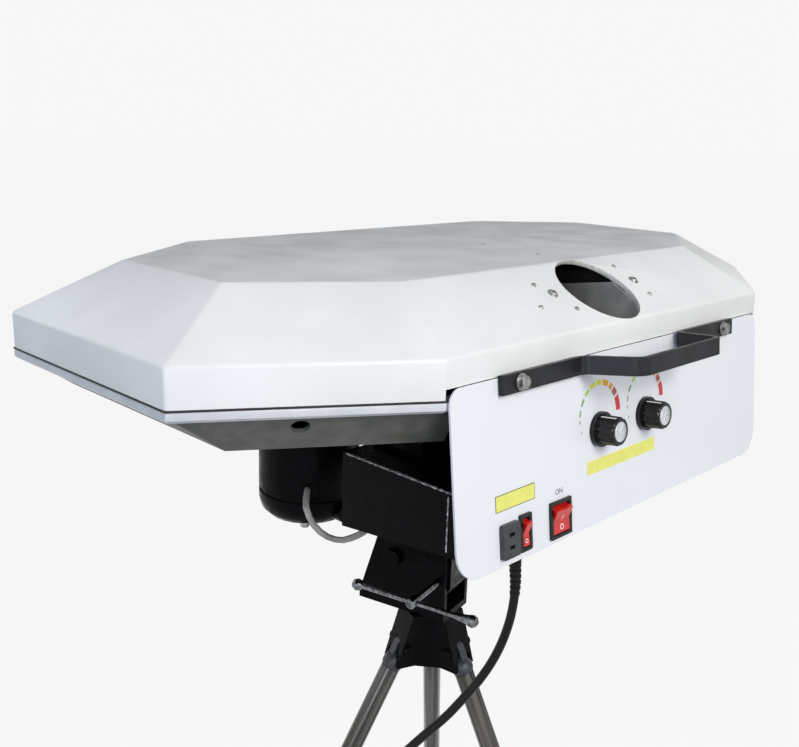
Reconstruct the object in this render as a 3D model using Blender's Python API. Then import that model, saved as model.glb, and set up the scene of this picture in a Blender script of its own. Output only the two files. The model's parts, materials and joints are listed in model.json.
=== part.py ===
"""Cricket bowling machine on a tripod, modelled in metres with +Z up.

Two rubber wheels turn side by side under a faceted white cover and throw a ball that is
dropped through the round hole in the rear slope. The wheels, their motors and the control
box hang on one steel chassis. The chassis turns on a round table, and the block under the
table tilts in a yoke that is bolted to the tripod's head.

The machine looks along +Y, and the operator stands behind it, at -Y. The machine's own
drawing zero is the middle of the rear edge, level with the top of the vertical skirt.
"""
from math import asin, atan2, cos, pi, radians, sin, tan

import bmesh
import bpy
import numpy as np
from mathutils import Matrix, Vector

# Clearances
GAP = 0.0003               # between pieces that touch
RUN = 0.0005               # round a shaft or pin that turns

# Cover: an elongated octagon in plan, a flat top, eight slopes and a vertical skirt
COVER_HALF_LENGTH = 0.3958
COVER_DEPTH = 0.4360
COVER_CENTRE_HALF = 0.2360         # half the straight rear and front edges
COVER_END_REAR = 0.0994            # where the end edge starts, from the rear edge
COVER_END_FRONT = 0.3290           # where the end edge ends, from the rear edge
COVER_RISE = 0.0417                # from the skirt's top to the flat top
TOP_HALF_LENGTH = 0.3195
TOP_CENTRE_HALF = 0.2085
TOP_INSET = 0.0740                 # from the rear and front edges to the flat top
TOP_END_REAR = 0.1445
TOP_END_FRONT = 0.2840
SKIRT_HEIGHT = 0.0300
COVER_WALL = 0.0040
COVER_EDGE_ROUND = 0.0022

# Feed hole in the rear slope and exit window in the front
FEED_HOLE_RADIUS = 0.0420
FEED_HOLE_UP_SLOPE = 0.0430        # along the slope, from the skirt's top edge
EXIT_HALF_WIDTH = 0.0550
EXIT_TOP = 0.0240
EXIT_BOTTOM = -0.0520
EXIT_REACH = 0.1000                # how far behind the front edge the window's cut starts
EXIT_CORNER = 0.0120

# Lower tray: rounded rim, short ledge, sloped sides and a flat floor
RIM_HEIGHT = 0.0085
RIM_LEDGE = 0.0070
RIM_ROUND = 0.0022
TRAY_DEPTH = 0.0385                # from the skirt's lower edge to the tray's underside
TRAY_WALL = 0.0030
TRAY_END_INSET = 0.0480
TRAY_DIAGONAL_INSET = 0.0280
TRAY_SIDE_INSET = 0.0200
TRAY_NOTCH_HALF = 0.2120
TRAY_NOTCH_DEPTH = 0.0640
DRAIN_RADIUS = 0.0070
DRAIN_ALONG = 0.0984               # along the rear diagonal edge, from the rear edge
DRAIN_DOWN = 0.0115                # down the sloped side, from the rim's ledge

# Chassis
DECK_THICKNESS = 0.0050
DECK_HALF_LENGTH = 0.2480
DECK_FRONT = 0.3600
DECK_SIDE_FRONT = 0.2700
DECK_FRONT_HALF = 0.1650
HANGER_THICKNESS = 0.0040
HANGER_HALF_WIDTH = 0.1960
POST_HALF_WIDTH = 0.0205
POST_REAR = 0.0330                 # behind the pan axis
POST_FRONT = 0.0400                # in front of the pan axis
POST_FOOT = -0.3330
TURNTABLE_RADIUS = 0.0580
TURNTABLE_THICKNESS = 0.0080
THRUST_WASHER = 0.0014
WINDOW_MARGIN = 0.0060
PAN_SPINDLE_RADIUS = 0.0100
PAN_SPINDLE_DEPTH = 0.0300
PAN_NUT_RADIUS = 0.0150
PAN_NUT_HEIGHT = 0.0070

# Wheels and motors
WHEEL_AXIS_X = 0.1800
WHEEL_AXIS_Y = 0.2140
WHEEL_RADIUS = 0.1490
WHEEL_WIDTH = 0.0600
WHEEL_MID_HEIGHT = -0.0080
TYRE_THICKNESS = 0.0380
TREAD_HOLLOW = 0.0045
TREAD_CHAMFER = 0.0040
HUB_WEB = 0.0080
HUB_RIM = 0.0070
HUB_RIM_WIDTH = 0.0420
HUB_BOSS_RADIUS = 0.0200
HUB_BOSS_LENGTH = 0.0360
HUB_HOLE_RADIUS = 0.0170
HUB_HOLE_CIRCLE = 0.0600
HUB_HOLES = 5
SHAFT_RADIUS = 0.0080
SHAFT_HOLE_RADIUS = 0.0240
SHAFT_NUT_RADIUS = 0.0130
SHAFT_NUT_HEIGHT = 0.0060
MOTOR_RADIUS = 0.0460
MOTOR_LENGTH = 0.1260
MOTOR_EDGE = 0.0180
MOTOR_BELL = 0.0260
MOTOR_GROOVE = 0.0015
BRUSH_CAP_RADIUS = 0.0085
BRUSH_CAP_LENGTH = 0.0060

# Chute under the feed hole
CHUTE_RADIUS = 0.0380
CHUTE_WALL = 0.0025
CHUTE_SIDE = 0.0140                # straight wall above the half pipe
CHUTE_REAR = 0.0100
CHUTE_BEFORE_WHEELS = 0.0136       # between the chute's end and the tyres beside it
CHUTE_REAR_FLOOR = -0.0240
CHUTE_FRONT_FLOOR = -0.0460
CRADLE_LENGTH = 0.0280
CRADLE_FROM_END = 0.0060
CRADLE_ARC = radians(35)

# Control panel: a flat plate that leans, its lower edge nearer the operator
PANEL_LEAN = radians(6.7)
PANEL_HALF_WIDTH = 0.2346
PANEL_TOP = -0.0218
PANEL_BOTTOM = -0.1665
PANEL_THICKNESS = 0.0020
PANEL_TOP_CORNER = 0.0120
PANEL_LOW_CORNER = 0.0250

# Control box behind the panel, and the narrower box above it
BOX_INSET = 0.0086                 # from the panel's side edges
BOX_TOP = -0.0996
BOX_BOTTOM = -0.1495               # along the panel's own slope
BOX_FRONT = 0.1160
BOX_WALL = 0.0020
WELL_SIDES = (-0.1910, -0.0940)    # deeper part of the box behind the switches
WELL_FRONT = 0.0400
WELL_BOTTOM = -0.1640
UPPER_BOX_HALF_WIDTH = 0.1500
UPPER_BOX_TOP = -0.0420
UPPER_BOX_FRONT = 0.0575
HEAT_SINK_WIDTH = 0.0700
HEAT_SINK_DEPTH = 0.0600
HEAT_SINK_BASE = 0.0050
HEAT_SINK_FIN = 0.0140
HEAT_SINK_FINS = 6
HEAT_SINK_X = 0.0800
HEAT_SINK_REAR = 0.0350
BOARD_THICKNESS = 0.0016

# Push handle
HANDLE_CENTRE_X = -0.0050
HANDLE_HALF_LENGTH = 0.1780
HANDLE_FOOT_INNER = 0.0750
HANDLE_GRIP_HALF = 0.0620
HANDLE_STANDOFF = 0.0480
HANDLE_BAR_HEIGHT = 0.0150
HANDLE_BAR_THICKNESS = 0.0050
HANDLE_BEND = 0.0100
HANDLE_HEIGHT = -0.0270
HANDLE_BOLT_X = 0.1573
HANDLE_BOLT_RADIUS = 0.0030
HANDLE_HOLE_RADIUS = 0.0034
BOLT_HEAD_RADIUS = 0.0050
BOLT_HEAD_HEIGHT = 0.0042
WASHER_RADIUS = 0.0066
WASHER_HEIGHT = 0.0012

# Knobs and the potentiometers behind them
KNOB_X = (-0.0528, 0.0180)
KNOB_HEIGHT = -0.0857
KNOB_SKIRT_RADIUS = 0.0150
KNOB_SKIRT_HEIGHT = 0.0040
KNOB_BODY_RADIUS = 0.0125
KNOB_LENGTH = 0.0205
KNOB_FLUTES = 12
KNOB_FLUTE_DEPTH = 0.0012
KNOB_RECESS = 0.0010
KNOB_INSERT_RADIUS = 0.0085
POT_SHAFT_RADIUS = 0.0030
POT_SHAFT_LENGTH = 0.0150
POT_BUSH_RADIUS = 0.0043
POT_HOLE_RADIUS = 0.0047
POT_CAN_RADIUS = 0.0120
POT_CAN_LENGTH = 0.0130

# Rocker switches and the socket, by their centres on the panel
MAIN_SWITCH_AT = (-0.1115, -0.1470)
MAIN_SWITCH_SIZE = (0.0280, 0.0310)
FEEDER_SWITCH_AT = (-0.1570, -0.1458)
FEEDER_SWITCH_SIZE = (0.0142, 0.0300)
SWITCH_FRAME = 0.0030
SWITCH_PROUD = 0.0022
SWITCH_BODY_DEPTH = 0.0220
ROCKER_PIVOT_DEPTH = 0.0040        # behind the panel's face
ROCKER_WAIST = 0.0026              # how far the rocker's middle is hollowed
ROCKER_THROW = radians(22)
SOCKET_AT = (-0.1772, -0.1462)
SOCKET_SIZE = (0.0200, 0.0270)
SOCKET_PROUD = 0.0045
SOCKET_BODY_DEPTH = 0.0240
SOCKET_SLOT = (0.0060, 0.0030, 0.0060)

# Tilt yoke, its bolts and the clamp. Depths are measured forwards from the pan axis.
YOKE_TURN = radians(14)            # as photographed, the machine is turned on its stand
YOKE_INNER_HALF = 0.0210
YOKE_CHEEK = 0.0060
YOKE_BASE = 0.0080
YOKE_BASE_TOP = -0.3520
YOKE_REAR = -0.0300
YOKE_FRONT = 0.0780
YOKE_TOP = -0.2580
YOKE_TOP_FRONT = 0.0490
YOKE_SHOULDER = 0.0100
TILT_AT = (0.0340, -0.3000)        # depth and height of the tilt axis
TILT_THROW = radians(12)
TILT_HUB_RADIUS = 0.0200
TILT_BOLT_RADIUS = 0.0060
TILT_HEAD_RADIUS = 0.0100
TILT_HEAD_HEIGHT = 0.0060
CLAMP_AT = (-0.0216, -0.3140)      # depth and height of the clamp screw
CLAMP_RADIUS = 0.0040
CLAMP_OUTSIDE = 0.0595
CLAMP_HEAD_RADIUS = 0.0054
CLAMP_HEAD_LENGTH = 0.0130
TOMMY_RADIUS = 0.0027
TOMMY_HALF_LENGTH = 0.0675
TOMMY_BALL_RADIUS = 0.0066
TOMMY_SLEEVE_RADIUS = 0.0050
TOMMY_SLEEVE_LENGTH = 0.0150
HEAD_BOLT_RADIUS = 0.0100
HEAD_BOLT_HEAD_RADIUS = 0.0160
HEAD_BOLT_HEAD_HEIGHT = 0.0038
HEAD_NUT_RADIUS = 0.0145
HEAD_NUT_HEIGHT = 0.0100

# Tripod head
HEAD_TURN = radians(9)
HEAD_HEIGHT = 0.0595
HEAD_TOP_REACH = 0.0300            # from the middle to the end of an ear
HEAD_BOTTOM_REACH = 0.0475
HEAD_TOP_CORE = 0.0235             # from the middle to the root of an ear
HEAD_BOTTOM_CORE = 0.0265

# Legs
LEG_NAMES = ("left", "front", "right")
LEG_AZIMUTHS = (radians(-60), radians(60), radians(180))   # from forwards towards the right
LEG_SPLAY = radians(26)
LEG_PIN_HEIGHT = -0.3995
LEG_PIN_CIRCLE = 0.0342
LEG_PIN_RADIUS = 0.0040
LEG_PIN_HALF = 0.0176
LEG_PIN_HEAD_RADIUS = 0.0062
LEG_PIN_HEAD_HEIGHT = 0.0040
LEG_TONGUE = 0.0100
LEG_TONGUE_RADIUS = 0.0080
LEG_BALL_RADIUS = 0.0122
LEG_BALL_FROM_PIN = 0.0230
LEG_TUBE_RADIUS = 0.0106
LEG_TUBE_WALL = 0.0015
LEG_TUBE_LENGTH = 1.0800
LEG_PLUG_LENGTH = 0.0300
FOOT_RADIUS = 0.0155
FOOT_LENGTH = 0.0450
FOOT_SOLE = 0.0150

# Mains lead with its gland, coil and plug, and the motors' leads
CORD_DIAMETER = 0.0075
GLAND_AT = (-0.1380, 0.0255)       # on the well's floor, in the panel's own directions
GLAND_COLLAR_RADIUS = 0.0105
GLAND_COLLAR_HEIGHT = 0.0040
GLAND_RADIUS = 0.0085
GLAND_TIP_RADIUS = 0.0054
GLAND_LENGTH = 0.0165
COIL_CENTRE = (-0.3150, 0.0600)
COIL_TURNS_IN = 3
COIL_RADIUS = 0.0410
COIL_PITCH = 0.0081
COIL_START = radians(0)
COIL_TAIL = 0.0480                 # straight end that brings the plug clear of the coil
POINTS_A_TURN = 24
PLUG_LENGTH = 0.0460
PLUG_WIDTH = 0.0360
PLUG_HEIGHT = 0.0250
PLUG_NECK = 0.0160
PIN_LENGTH = 0.0180
PIN_RADIUS = 0.0025
MOTOR_LEAD_DIAMETER = 0.0056
MOTOR_LEAD_DOWN = 0.0872           # from the motor's top to where its lead comes out

COLOURS = {
    "white_gelcoat": ("#EDEDE8", 0.25, 0.0),
    "grey_gelcoat": ("#8E8E88", 0.35, 0.0),
    "black_paint": ("#0D0D0F", 0.25, 0.0),
    "panel_white": ("#E9ECF2", 0.3, 0.0),
    "rubber": ("#1B1B1B", 0.8, 0.0),
    "wheel_rubber": ("#4A4B4C", 0.7, 0.0),
    "cast_aluminium": ("#9B9DA0", 0.4, 1.0),
    "zinc": ("#B5B6B4", 0.35, 1.0),
    "chrome": ("#C9CBCE", 0.12, 1.0),
    "grey_plastic": ("#45484D", 0.45, 0.0),
    "chute_grey": ("#B9BCBC", 0.4, 0.0),
    "gloss_black": ("#0B0B0C", 0.15, 0.0),
    "silver_insert": ("#DADCE0", 0.3, 0.4),
    "red_plastic": ("#D2201C", 0.2, 0.0),
    "cord_black": ("#101011", 0.45, 0.0),
    "lead_grey": ("#8C8A86", 0.5, 0.0),
    "board_green": ("#1F5A35", 0.5, 0.0),
    "brass": ("#B08D45", 0.3, 1.0),
}

# What follows from the sizes above
PAN_Y = COVER_DEPTH / 2
BOX_HALF_WIDTH = PANEL_HALF_WIDTH - BOX_INSET
SLOPE = atan2(COVER_RISE, TOP_INSET)
SLOPE_UP = Vector((0, cos(SLOPE), sin(SLOPE)))
SLOPE_OUT = Vector((0, -sin(SLOPE), cos(SLOPE)))
RIM_TOP = -SKIRT_HEIGHT - GAP
TRAY_FLOOR = -SKIRT_HEIGHT - TRAY_DEPTH
DECK_LOW = TRAY_FLOOR + TRAY_WALL + GAP
DECK_HIGH = DECK_LOW + DECK_THICKNESS
HANGER_REAR = UPPER_BOX_FRONT + GAP * 2
YOKE_OUTER_HALF = YOKE_INNER_HALF + YOKE_CHEEK
YOKE_LOW = YOKE_BASE_TOP - YOKE_BASE
HEAD_TOP = YOKE_LOW - GAP
HEAD_LOW = HEAD_TOP - HEAD_HEIGHT
WHEELS_START = WHEEL_AXIS_Y - max(
    WHEEL_RADIUS ** 2 - (WHEEL_AXIS_X - CHUTE_RADIUS - CHUTE_WALL) ** 2, 0) ** 0.5
CHUTE_FRONT = WHEELS_START - CHUTE_BEFORE_WHEELS
CRADLE_FRONT = CHUTE_FRONT - CRADLE_FROM_END
CRADLE_REAR = CRADLE_FRONT - CRADLE_LENGTH
TURNTABLE_TOP = DECK_LOW - GAP * 2 - THRUST_WASHER
LEG_TUBE_TOP = -LEG_BALL_FROM_PIN - (LEG_BALL_RADIUS ** 2 - LEG_TUBE_RADIUS ** 2) ** 0.5
LEG_TUBE_END = LEG_TUBE_TOP - GAP - LEG_TUBE_LENGTH
LEG_REACH = -LEG_TUBE_END + FOOT_SOLE
FLOOR = LEG_PIN_HEIGHT - LEG_REACH * cos(LEG_SPLAY)
MOTOR_TOP = TRAY_FLOOR - GAP


def clear_scene():
    for item in list(bpy.data.objects):
        bpy.data.objects.remove(item, do_unlink=True)


def linear(channel):
    return channel / 12.92 if channel <= 0.04045 else ((channel + 0.055) / 1.055) ** 2.4


def material(name):
    """One Principled material for each finish, made the first time it is asked for."""
    known = bpy.data.materials.get(name)
    if known:
        return known
    hex_value, roughness, metallic = COLOURS[name]
    made = bpy.data.materials.new(name)
    made.use_nodes = True
    shader = made.node_tree.nodes["Principled BSDF"]
    channels = [int(hex_value[i:i + 2], 16) / 255 for i in (1, 3, 5)]
    shader.inputs["Base Color"].default_value = (*[linear(c) for c in channels], 1)
    shader.inputs["Roughness"].default_value = roughness
    shader.inputs["Metallic"].default_value = metallic
    return made


def place(item, parent, location, rotation):
    bpy.context.collection.objects.link(item)
    item.parent = parent
    item.location = location
    item.rotation_euler = rotation
    return item


def empty(name, parent=None, location=(0, 0, 0), rotation=(0, 0, 0)):
    return place(bpy.data.objects.new(name, None), parent, location, rotation)


def piece(name, bm, finish, parent, location=(0, 0, 0), rotation=(0, 0, 0), crease=32):
    """Turn a bmesh into a named object with smooth faces and sharp folds."""
    bmesh.ops.remove_doubles(bm, verts=bm.verts, dist=1e-6)
    bmesh.ops.recalc_face_normals(bm, faces=bm.faces)
    mesh = bpy.data.meshes.new(name)
    bm.to_mesh(mesh)
    bm.free()
    mesh.shade_smooth()
    mesh.set_sharp_from_angle(angle=radians(crease))
    mesh.materials.append(material(finish))
    return place(bpy.data.objects.new(name, mesh), parent, location, rotation)


def tool(name, bm, parent, location=(0, 0, 0), rotation=(0, 0, 0)):
    """A hidden shape that cuts or joins another one."""
    item = piece(name, bm, "black_paint", parent, location, rotation)
    item.hide_render = True
    item.display_type = "WIRE"
    return item


def boolean(target, shape, operation="DIFFERENCE"):
    change = target.modifiers.new(shape.name, "BOOLEAN")
    change.operation = operation
    change.solver = "EXACT"
    change.object = shape


def loft(bm, rings):
    """Skin rings of the same number of points, and close both ends with a face."""
    rows = [[bm.verts.new(point) for point in ring] for ring in rings]
    for lower, upper in zip(rows, rows[1:]):
        for i in range(len(lower)):
            j = (i + 1) % len(lower)
            bm.faces.new((lower[i], lower[j], upper[j], upper[i]))
    bm.faces.new(rows[0][::-1])
    bm.faces.new(rows[-1])
    return rows


def box(bm, low, high):
    corners = ((low[0], low[1]), (high[0], low[1]), (high[0], high[1]), (low[0], high[1]))
    loft(bm, [[(x, y, z) for x, y in corners] for z in (low[2], high[2])])


def circle(radius, count, start=0.0):
    return [(radius * cos(start + 2 * pi * i / count), radius * sin(start + 2 * pi * i / count))
            for i in range(count)]


def turned(bm, profile, segments=24, frame=Matrix.Identity(4)):
    """Turn an open profile of (radius, height) about Z and close its two ends."""
    return loft(bm, [[frame @ Vector((x, y, height)) for x, y in circle(radius, segments)]
                     for radius, height in profile])


def turned_ring(bm, profile, segments=24, frame=Matrix.Identity(4)):
    """Turn a closed profile about Z, which leaves a bore through the middle."""
    rows = [[bm.verts.new(frame @ Vector((x, y, height))) for x, y in circle(radius, segments)]
            for radius, height in profile]
    for a, lower in enumerate(rows):
        upper = rows[(a + 1) % len(rows)]
        for i in range(segments):
            j = (i + 1) % segments
            bm.faces.new((lower[i], lower[j], upper[j], upper[i]))


def prism(bm, outline, low, high, frame=Matrix.Identity(4)):
    """Extrude a flat outline between two heights."""
    loft(bm, [[frame @ Vector((x, y, h)) for x, y in outline] for h in (low, high)])


def rounded_rect(cx, cy, width, height, radius, steps=4, low_radius=None):
    """A rectangle with quarter-round corners, anticlockwise from its lower right one."""
    low = radius if low_radius is None else low_radius
    points = []
    for way_x, way_y, r, start in ((1, -1, low, -90), (1, 1, radius, 0), (-1, 1, radius, 90),
                                   (-1, -1, low, 180)):
        corner_x = cx + way_x * (width / 2 - r)
        corner_y = cy + way_y * (height / 2 - r)
        for i in range(steps + 1):
            angle = radians(start + 90 * i / steps)
            points.append((corner_x + r * cos(angle), corner_y + r * sin(angle)))
    return points


def inset(outline, amounts):
    """Move each side of a convex anticlockwise outline inwards by its own amount."""
    lines = []
    for i, point in enumerate(outline):
        along = (Vector(outline[(i + 1) % len(outline)]) - Vector(point)).normalized()
        inward = Vector((-along.y, along.x))
        lines.append((Vector(point) + inward * amounts[i], along))
    points = []
    for i, (q, v) in enumerate(lines):
        p, u = lines[i - 1]
        t = ((q - p).x * v.y - (q - p).y * v.x) / (u.x * v.y - u.y * v.x)
        points.append(tuple(p + u * t))
    return points


def at_height(outline, height):
    return [(x, y, height) for x, y in outline]


def facing(origin, direction):
    """A matrix that turns Z onto a direction and moves zero to an origin."""
    turn = Vector((0, 0, 1)).rotation_difference(Vector(direction)).to_matrix().to_4x4()
    return Matrix.Translation(origin) @ turn


# Outlines drawn in YZ and extruded along X, and outlines drawn in XZ and extruded along Y
ALONG_X = Matrix(((0, 0, 1, 0), (1, 0, 0, 0), (0, 1, 0, 0), (0, 0, 0, 1)))
ALONG_Y = Matrix(((1, 0, 0, 0), (0, 0, 1, 0), (0, 1, 0, 0), (0, 0, 0, 1)))
TO_LEFT = Matrix(((0, 0, -1, 0), (0, 1, 0, 0), (1, 0, 0, 0), (0, 0, 0, 1)))    # Z onto -X
OUT_OF_PANEL = Matrix(((1, 0, 0, 0), (0, 0, -1, 0), (0, 1, 0, 0), (0, 0, 0, 1)))  # Z onto -Y


def on_panel(x, height, depth=0.0):
    """Place a turned piece on the panel, its axis pointing out at the operator."""
    return Matrix.Translation((x, depth, height)) @ OUT_OF_PANEL


def smooth_route(points, spacing):
    """Points a steady distance apart on a smooth curve through the route's own points."""
    p = np.array([points[0], *points, points[-1]], float)
    fine = []
    for i in range(1, len(p) - 2):
        t = np.linspace(0, 1, 40, endpoint=False)[:, None]
        a, b, c, d = p[i - 1], p[i], p[i + 1], p[i + 2]
        fine.append(0.5 * (2 * b + (c - a) * t + (2 * a - 5 * b + 4 * c - d) * t ** 2
                           + (3 * b - a - 3 * c + d) * t ** 3))
    fine = np.vstack([*fine, p[-1:]])
    run = np.concatenate([[0], np.cumsum(np.linalg.norm(np.diff(fine, axis=0), axis=1))])
    wanted = np.linspace(0, run[-1], int(round(run[-1] / spacing)) + 1)
    return np.column_stack([np.interp(wanted, run, fine[:, k]) for k in range(3)]), run[-1]


def tube(name, points, diameter, resolution, finish, parent):
    """A round tube along points, as a curve with filled caps."""
    curve = bpy.data.curves.new(name, "CURVE")
    curve.dimensions = "3D"
    curve.bevel_depth = diameter / 2
    curve.bevel_resolution = resolution
    curve.use_fill_caps = True
    spline = curve.splines.new("POLY")
    spline.points.add(len(points) - 1)
    for target, point in zip(spline.points, points):
        target.co = (*point, 1)
    curve.materials.append(material(finish))
    return place(bpy.data.objects.new(name, curve), parent, (0, 0, 0), (0, 0, 0))


def octagon(centre_half, half_length, rear, front, end_rear, end_front):
    """Plan outline from the rear edge's left end, anticlockwise from above."""
    a, b = centre_half, half_length
    return [(-a, rear), (a, rear), (b, end_rear), (b, end_front),
            (a, front), (-a, front), (-b, end_front), (-b, end_rear)]


def skirt_outline():
    return octagon(COVER_CENTRE_HALF, COVER_HALF_LENGTH, 0, COVER_DEPTH,
                   COVER_END_REAR, COVER_END_FRONT)


def top_outline():
    return octagon(TOP_CENTRE_HALF, TOP_HALF_LENGTH, TOP_INSET, COVER_DEPTH - TOP_INSET,
                   TOP_END_REAR, TOP_END_FRONT)


def exit_cutter(machine):
    bm = bmesh.new()
    middle = (EXIT_TOP + EXIT_BOTTOM) / 2
    outline = rounded_rect(0, middle, EXIT_HALF_WIDTH * 2, EXIT_TOP - EXIT_BOTTOM, EXIT_CORNER)
    prism(bm, outline, COVER_DEPTH - EXIT_REACH, COVER_DEPTH + EXIT_REACH, ALONG_Y)
    return tool("exit_cutter", bm, machine)


def top_cover(machine, exit_shape):
    """White shell: flat top, eight slopes and a vertical skirt, open below."""
    inner_skirt = inset(skirt_outline(), [COVER_WALL] * 8)
    inner_top = inset(top_outline(), [COVER_WALL * tan(SLOPE / 2)] * 8)
    bm = bmesh.new()
    rows = loft(bm, [
        at_height(inner_top, COVER_RISE - COVER_WALL),
        at_height(inner_skirt, -COVER_WALL * (1 - sin(SLOPE)) / cos(SLOPE)),
        at_height(inner_skirt, -SKIRT_HEIGHT),
        at_height(skirt_outline(), -SKIRT_HEIGHT),
        at_height(skirt_outline(), 0),
        at_height(top_outline(), COVER_RISE)])
    folds = []
    for lower, upper in ((rows[3], rows[4]), (rows[4], rows[5])):
        for i in range(8):
            folds.append(bm.edges.get((lower[i], upper[i])))
            folds.append(bm.edges.get((upper[i - 1], upper[i])))
    bmesh.ops.bevel(bm, geom=folds, offset=COVER_EDGE_ROUND, segments=2, profile=0.5,
                    affect="EDGES")
    cover = piece("top_cover", bm, "white_gelcoat", machine, crease=40)

    bm = bmesh.new()
    turned(bm, [(FEED_HOLE_RADIUS, -0.03), (FEED_HOLE_RADIUS, 0.02)], 44,
           facing(SLOPE_UP * FEED_HOLE_UP_SLOPE, SLOPE_OUT))
    boolean(cover, tool("feed_hole_cutter", bm, machine))

    bm = bmesh.new()
    reach = PANEL_HALF_WIDTH + GAP * 2
    box(bm, (-reach, -0.02, -SKIRT_HEIGHT - 0.01), (reach, COVER_WALL + 0.003, PANEL_TOP + GAP))
    boolean(cover, tool("panel_seat_cutter", bm, machine))
    boolean(cover, exit_shape)


def lower_tray(machine, exit_shape):
    """Grey tray whose rounded rim closes the cover from below."""
    outer = skirt_outline()
    low = RIM_TOP - RIM_HEIGHT
    side, diagonal, end = TRAY_SIDE_INSET, TRAY_DIAGONAL_INSET, TRAY_END_INSET
    floor = [side, diagonal, end, diagonal] * 2
    floor_inner = [amount + TRAY_WALL / 2 for amount in floor]
    bm = bmesh.new()
    loft(bm, [
        at_height(inset(outer, floor_inner), TRAY_FLOOR + TRAY_WALL),
        at_height(inset(outer, [RIM_LEDGE + TRAY_WALL] * 8), low + TRAY_WALL),
        at_height(inset(outer, [RIM_LEDGE + TRAY_WALL] * 8), RIM_TOP),
        at_height(inset(outer, [RIM_ROUND / 2] * 8), RIM_TOP),
        at_height(outer, RIM_TOP - RIM_ROUND),
        at_height(outer, low + RIM_ROUND),
        at_height(inset(outer, [RIM_ROUND] * 8), low),
        at_height(inset(outer, [RIM_LEDGE] * 8), low),
        at_height(inset(outer, floor), TRAY_FLOOR)])
    tray = piece("lower_tray", bm, "grey_gelcoat", machine, crease=40)

    bm = bmesh.new()
    box(bm, (-TRAY_NOTCH_HALF, -0.02, TRAY_FLOOR - 0.01),
        (TRAY_NOTCH_HALF, TRAY_NOTCH_DEPTH, RIM_TOP + 0.01))
    window = TURNTABLE_RADIUS + WINDOW_MARGIN
    turned(bm, [(window, TRAY_FLOOR - 0.01), (window, TRAY_FLOOR + 0.01)], 28,
           Matrix.Translation((0, PAN_Y, 0)))
    for way in (-1, 1):
        turned(bm, [(SHAFT_HOLE_RADIUS, TRAY_FLOOR - 0.01), (SHAFT_HOLE_RADIUS, RIM_TOP)], 20,
               Matrix.Translation((way * WHEEL_AXIS_X, WHEEL_AXIS_Y, 0)))
    edge = Vector((COVER_HALF_LENGTH - COVER_CENTRE_HALF, COVER_END_REAR, 0)).normalized()
    inward = Vector((-edge.y, edge.x, 0))
    down = (inward * (TRAY_DIAGONAL_INSET - RIM_LEDGE)
            + Vector((0, 0, TRAY_FLOOR - (RIM_TOP - RIM_HEIGHT)))).normalized()
    at = (Vector((COVER_CENTRE_HALF, 0, RIM_TOP - RIM_HEIGHT)) + edge * DRAIN_ALONG
          + inward * RIM_LEDGE + down * DRAIN_DOWN)
    out = edge.cross(down)
    for way in (-1, 1):
        mirror = Matrix.Diagonal((way, 1, 1, 1))
        turned(bm, [(DRAIN_RADIUS, -0.01), (DRAIN_RADIUS, 0.01)], 12, mirror @ facing(at, out))
    boolean(tray, tool("tray_cutter", bm, machine))
    boolean(tray, exit_shape)


def chassis_deck(machine):
    """Steel plate on the tray's floor that carries the wheels' motors."""
    rear = HANGER_REAR
    a, b = DECK_HALF_LENGTH, DECK_FRONT_HALF
    outline = [(-HANGER_HALF_WIDTH, rear), (HANGER_HALF_WIDTH, rear), (a, TRAY_NOTCH_DEPTH + 0.03),
               (a, DECK_SIDE_FRONT), (b, DECK_FRONT), (-b, DECK_FRONT), (-a, DECK_SIDE_FRONT),
               (-a, TRAY_NOTCH_DEPTH + 0.03)]
    bm = bmesh.new()
    prism(bm, outline, DECK_LOW, DECK_HIGH)
    deck = piece("chassis_deck", bm, "black_paint", machine)
    bm = bmesh.new()
    for way in (-1, 1):
        turned(bm, [(SHAFT_HOLE_RADIUS, DECK_LOW - 0.01), (SHAFT_HOLE_RADIUS, DECK_HIGH + 0.01)],
               24, Matrix.Translation((way * WHEEL_AXIS_X, WHEEL_AXIS_Y, 0)))
    hole = PAN_SPINDLE_RADIUS + RUN
    turned(bm, [(hole, DECK_LOW - 0.01), (hole, DECK_HIGH + 0.01)], 24,
           Matrix.Translation((0, PAN_Y, 0)))
    boolean(deck, tool("deck_cutter", bm, machine))


def box_hanger(machine):
    """Folded plate from the deck's rear edge down to the control box's top."""
    t = HANGER_THICKNESS
    low = BOX_TOP + GAP
    outline = [(HANGER_REAR, DECK_LOW - GAP), (HANGER_REAR, low), (BOX_FRONT - t, low),
               (BOX_FRONT - t, low + t), (HANGER_REAR + t, low + t),
               (HANGER_REAR + t, DECK_LOW - GAP)]
    bm = bmesh.new()
    prism(bm, outline, -HANGER_HALF_WIDTH, HANGER_HALF_WIDTH, ALONG_X)
    piece("box_hanger", bm, "black_paint", machine)


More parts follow.
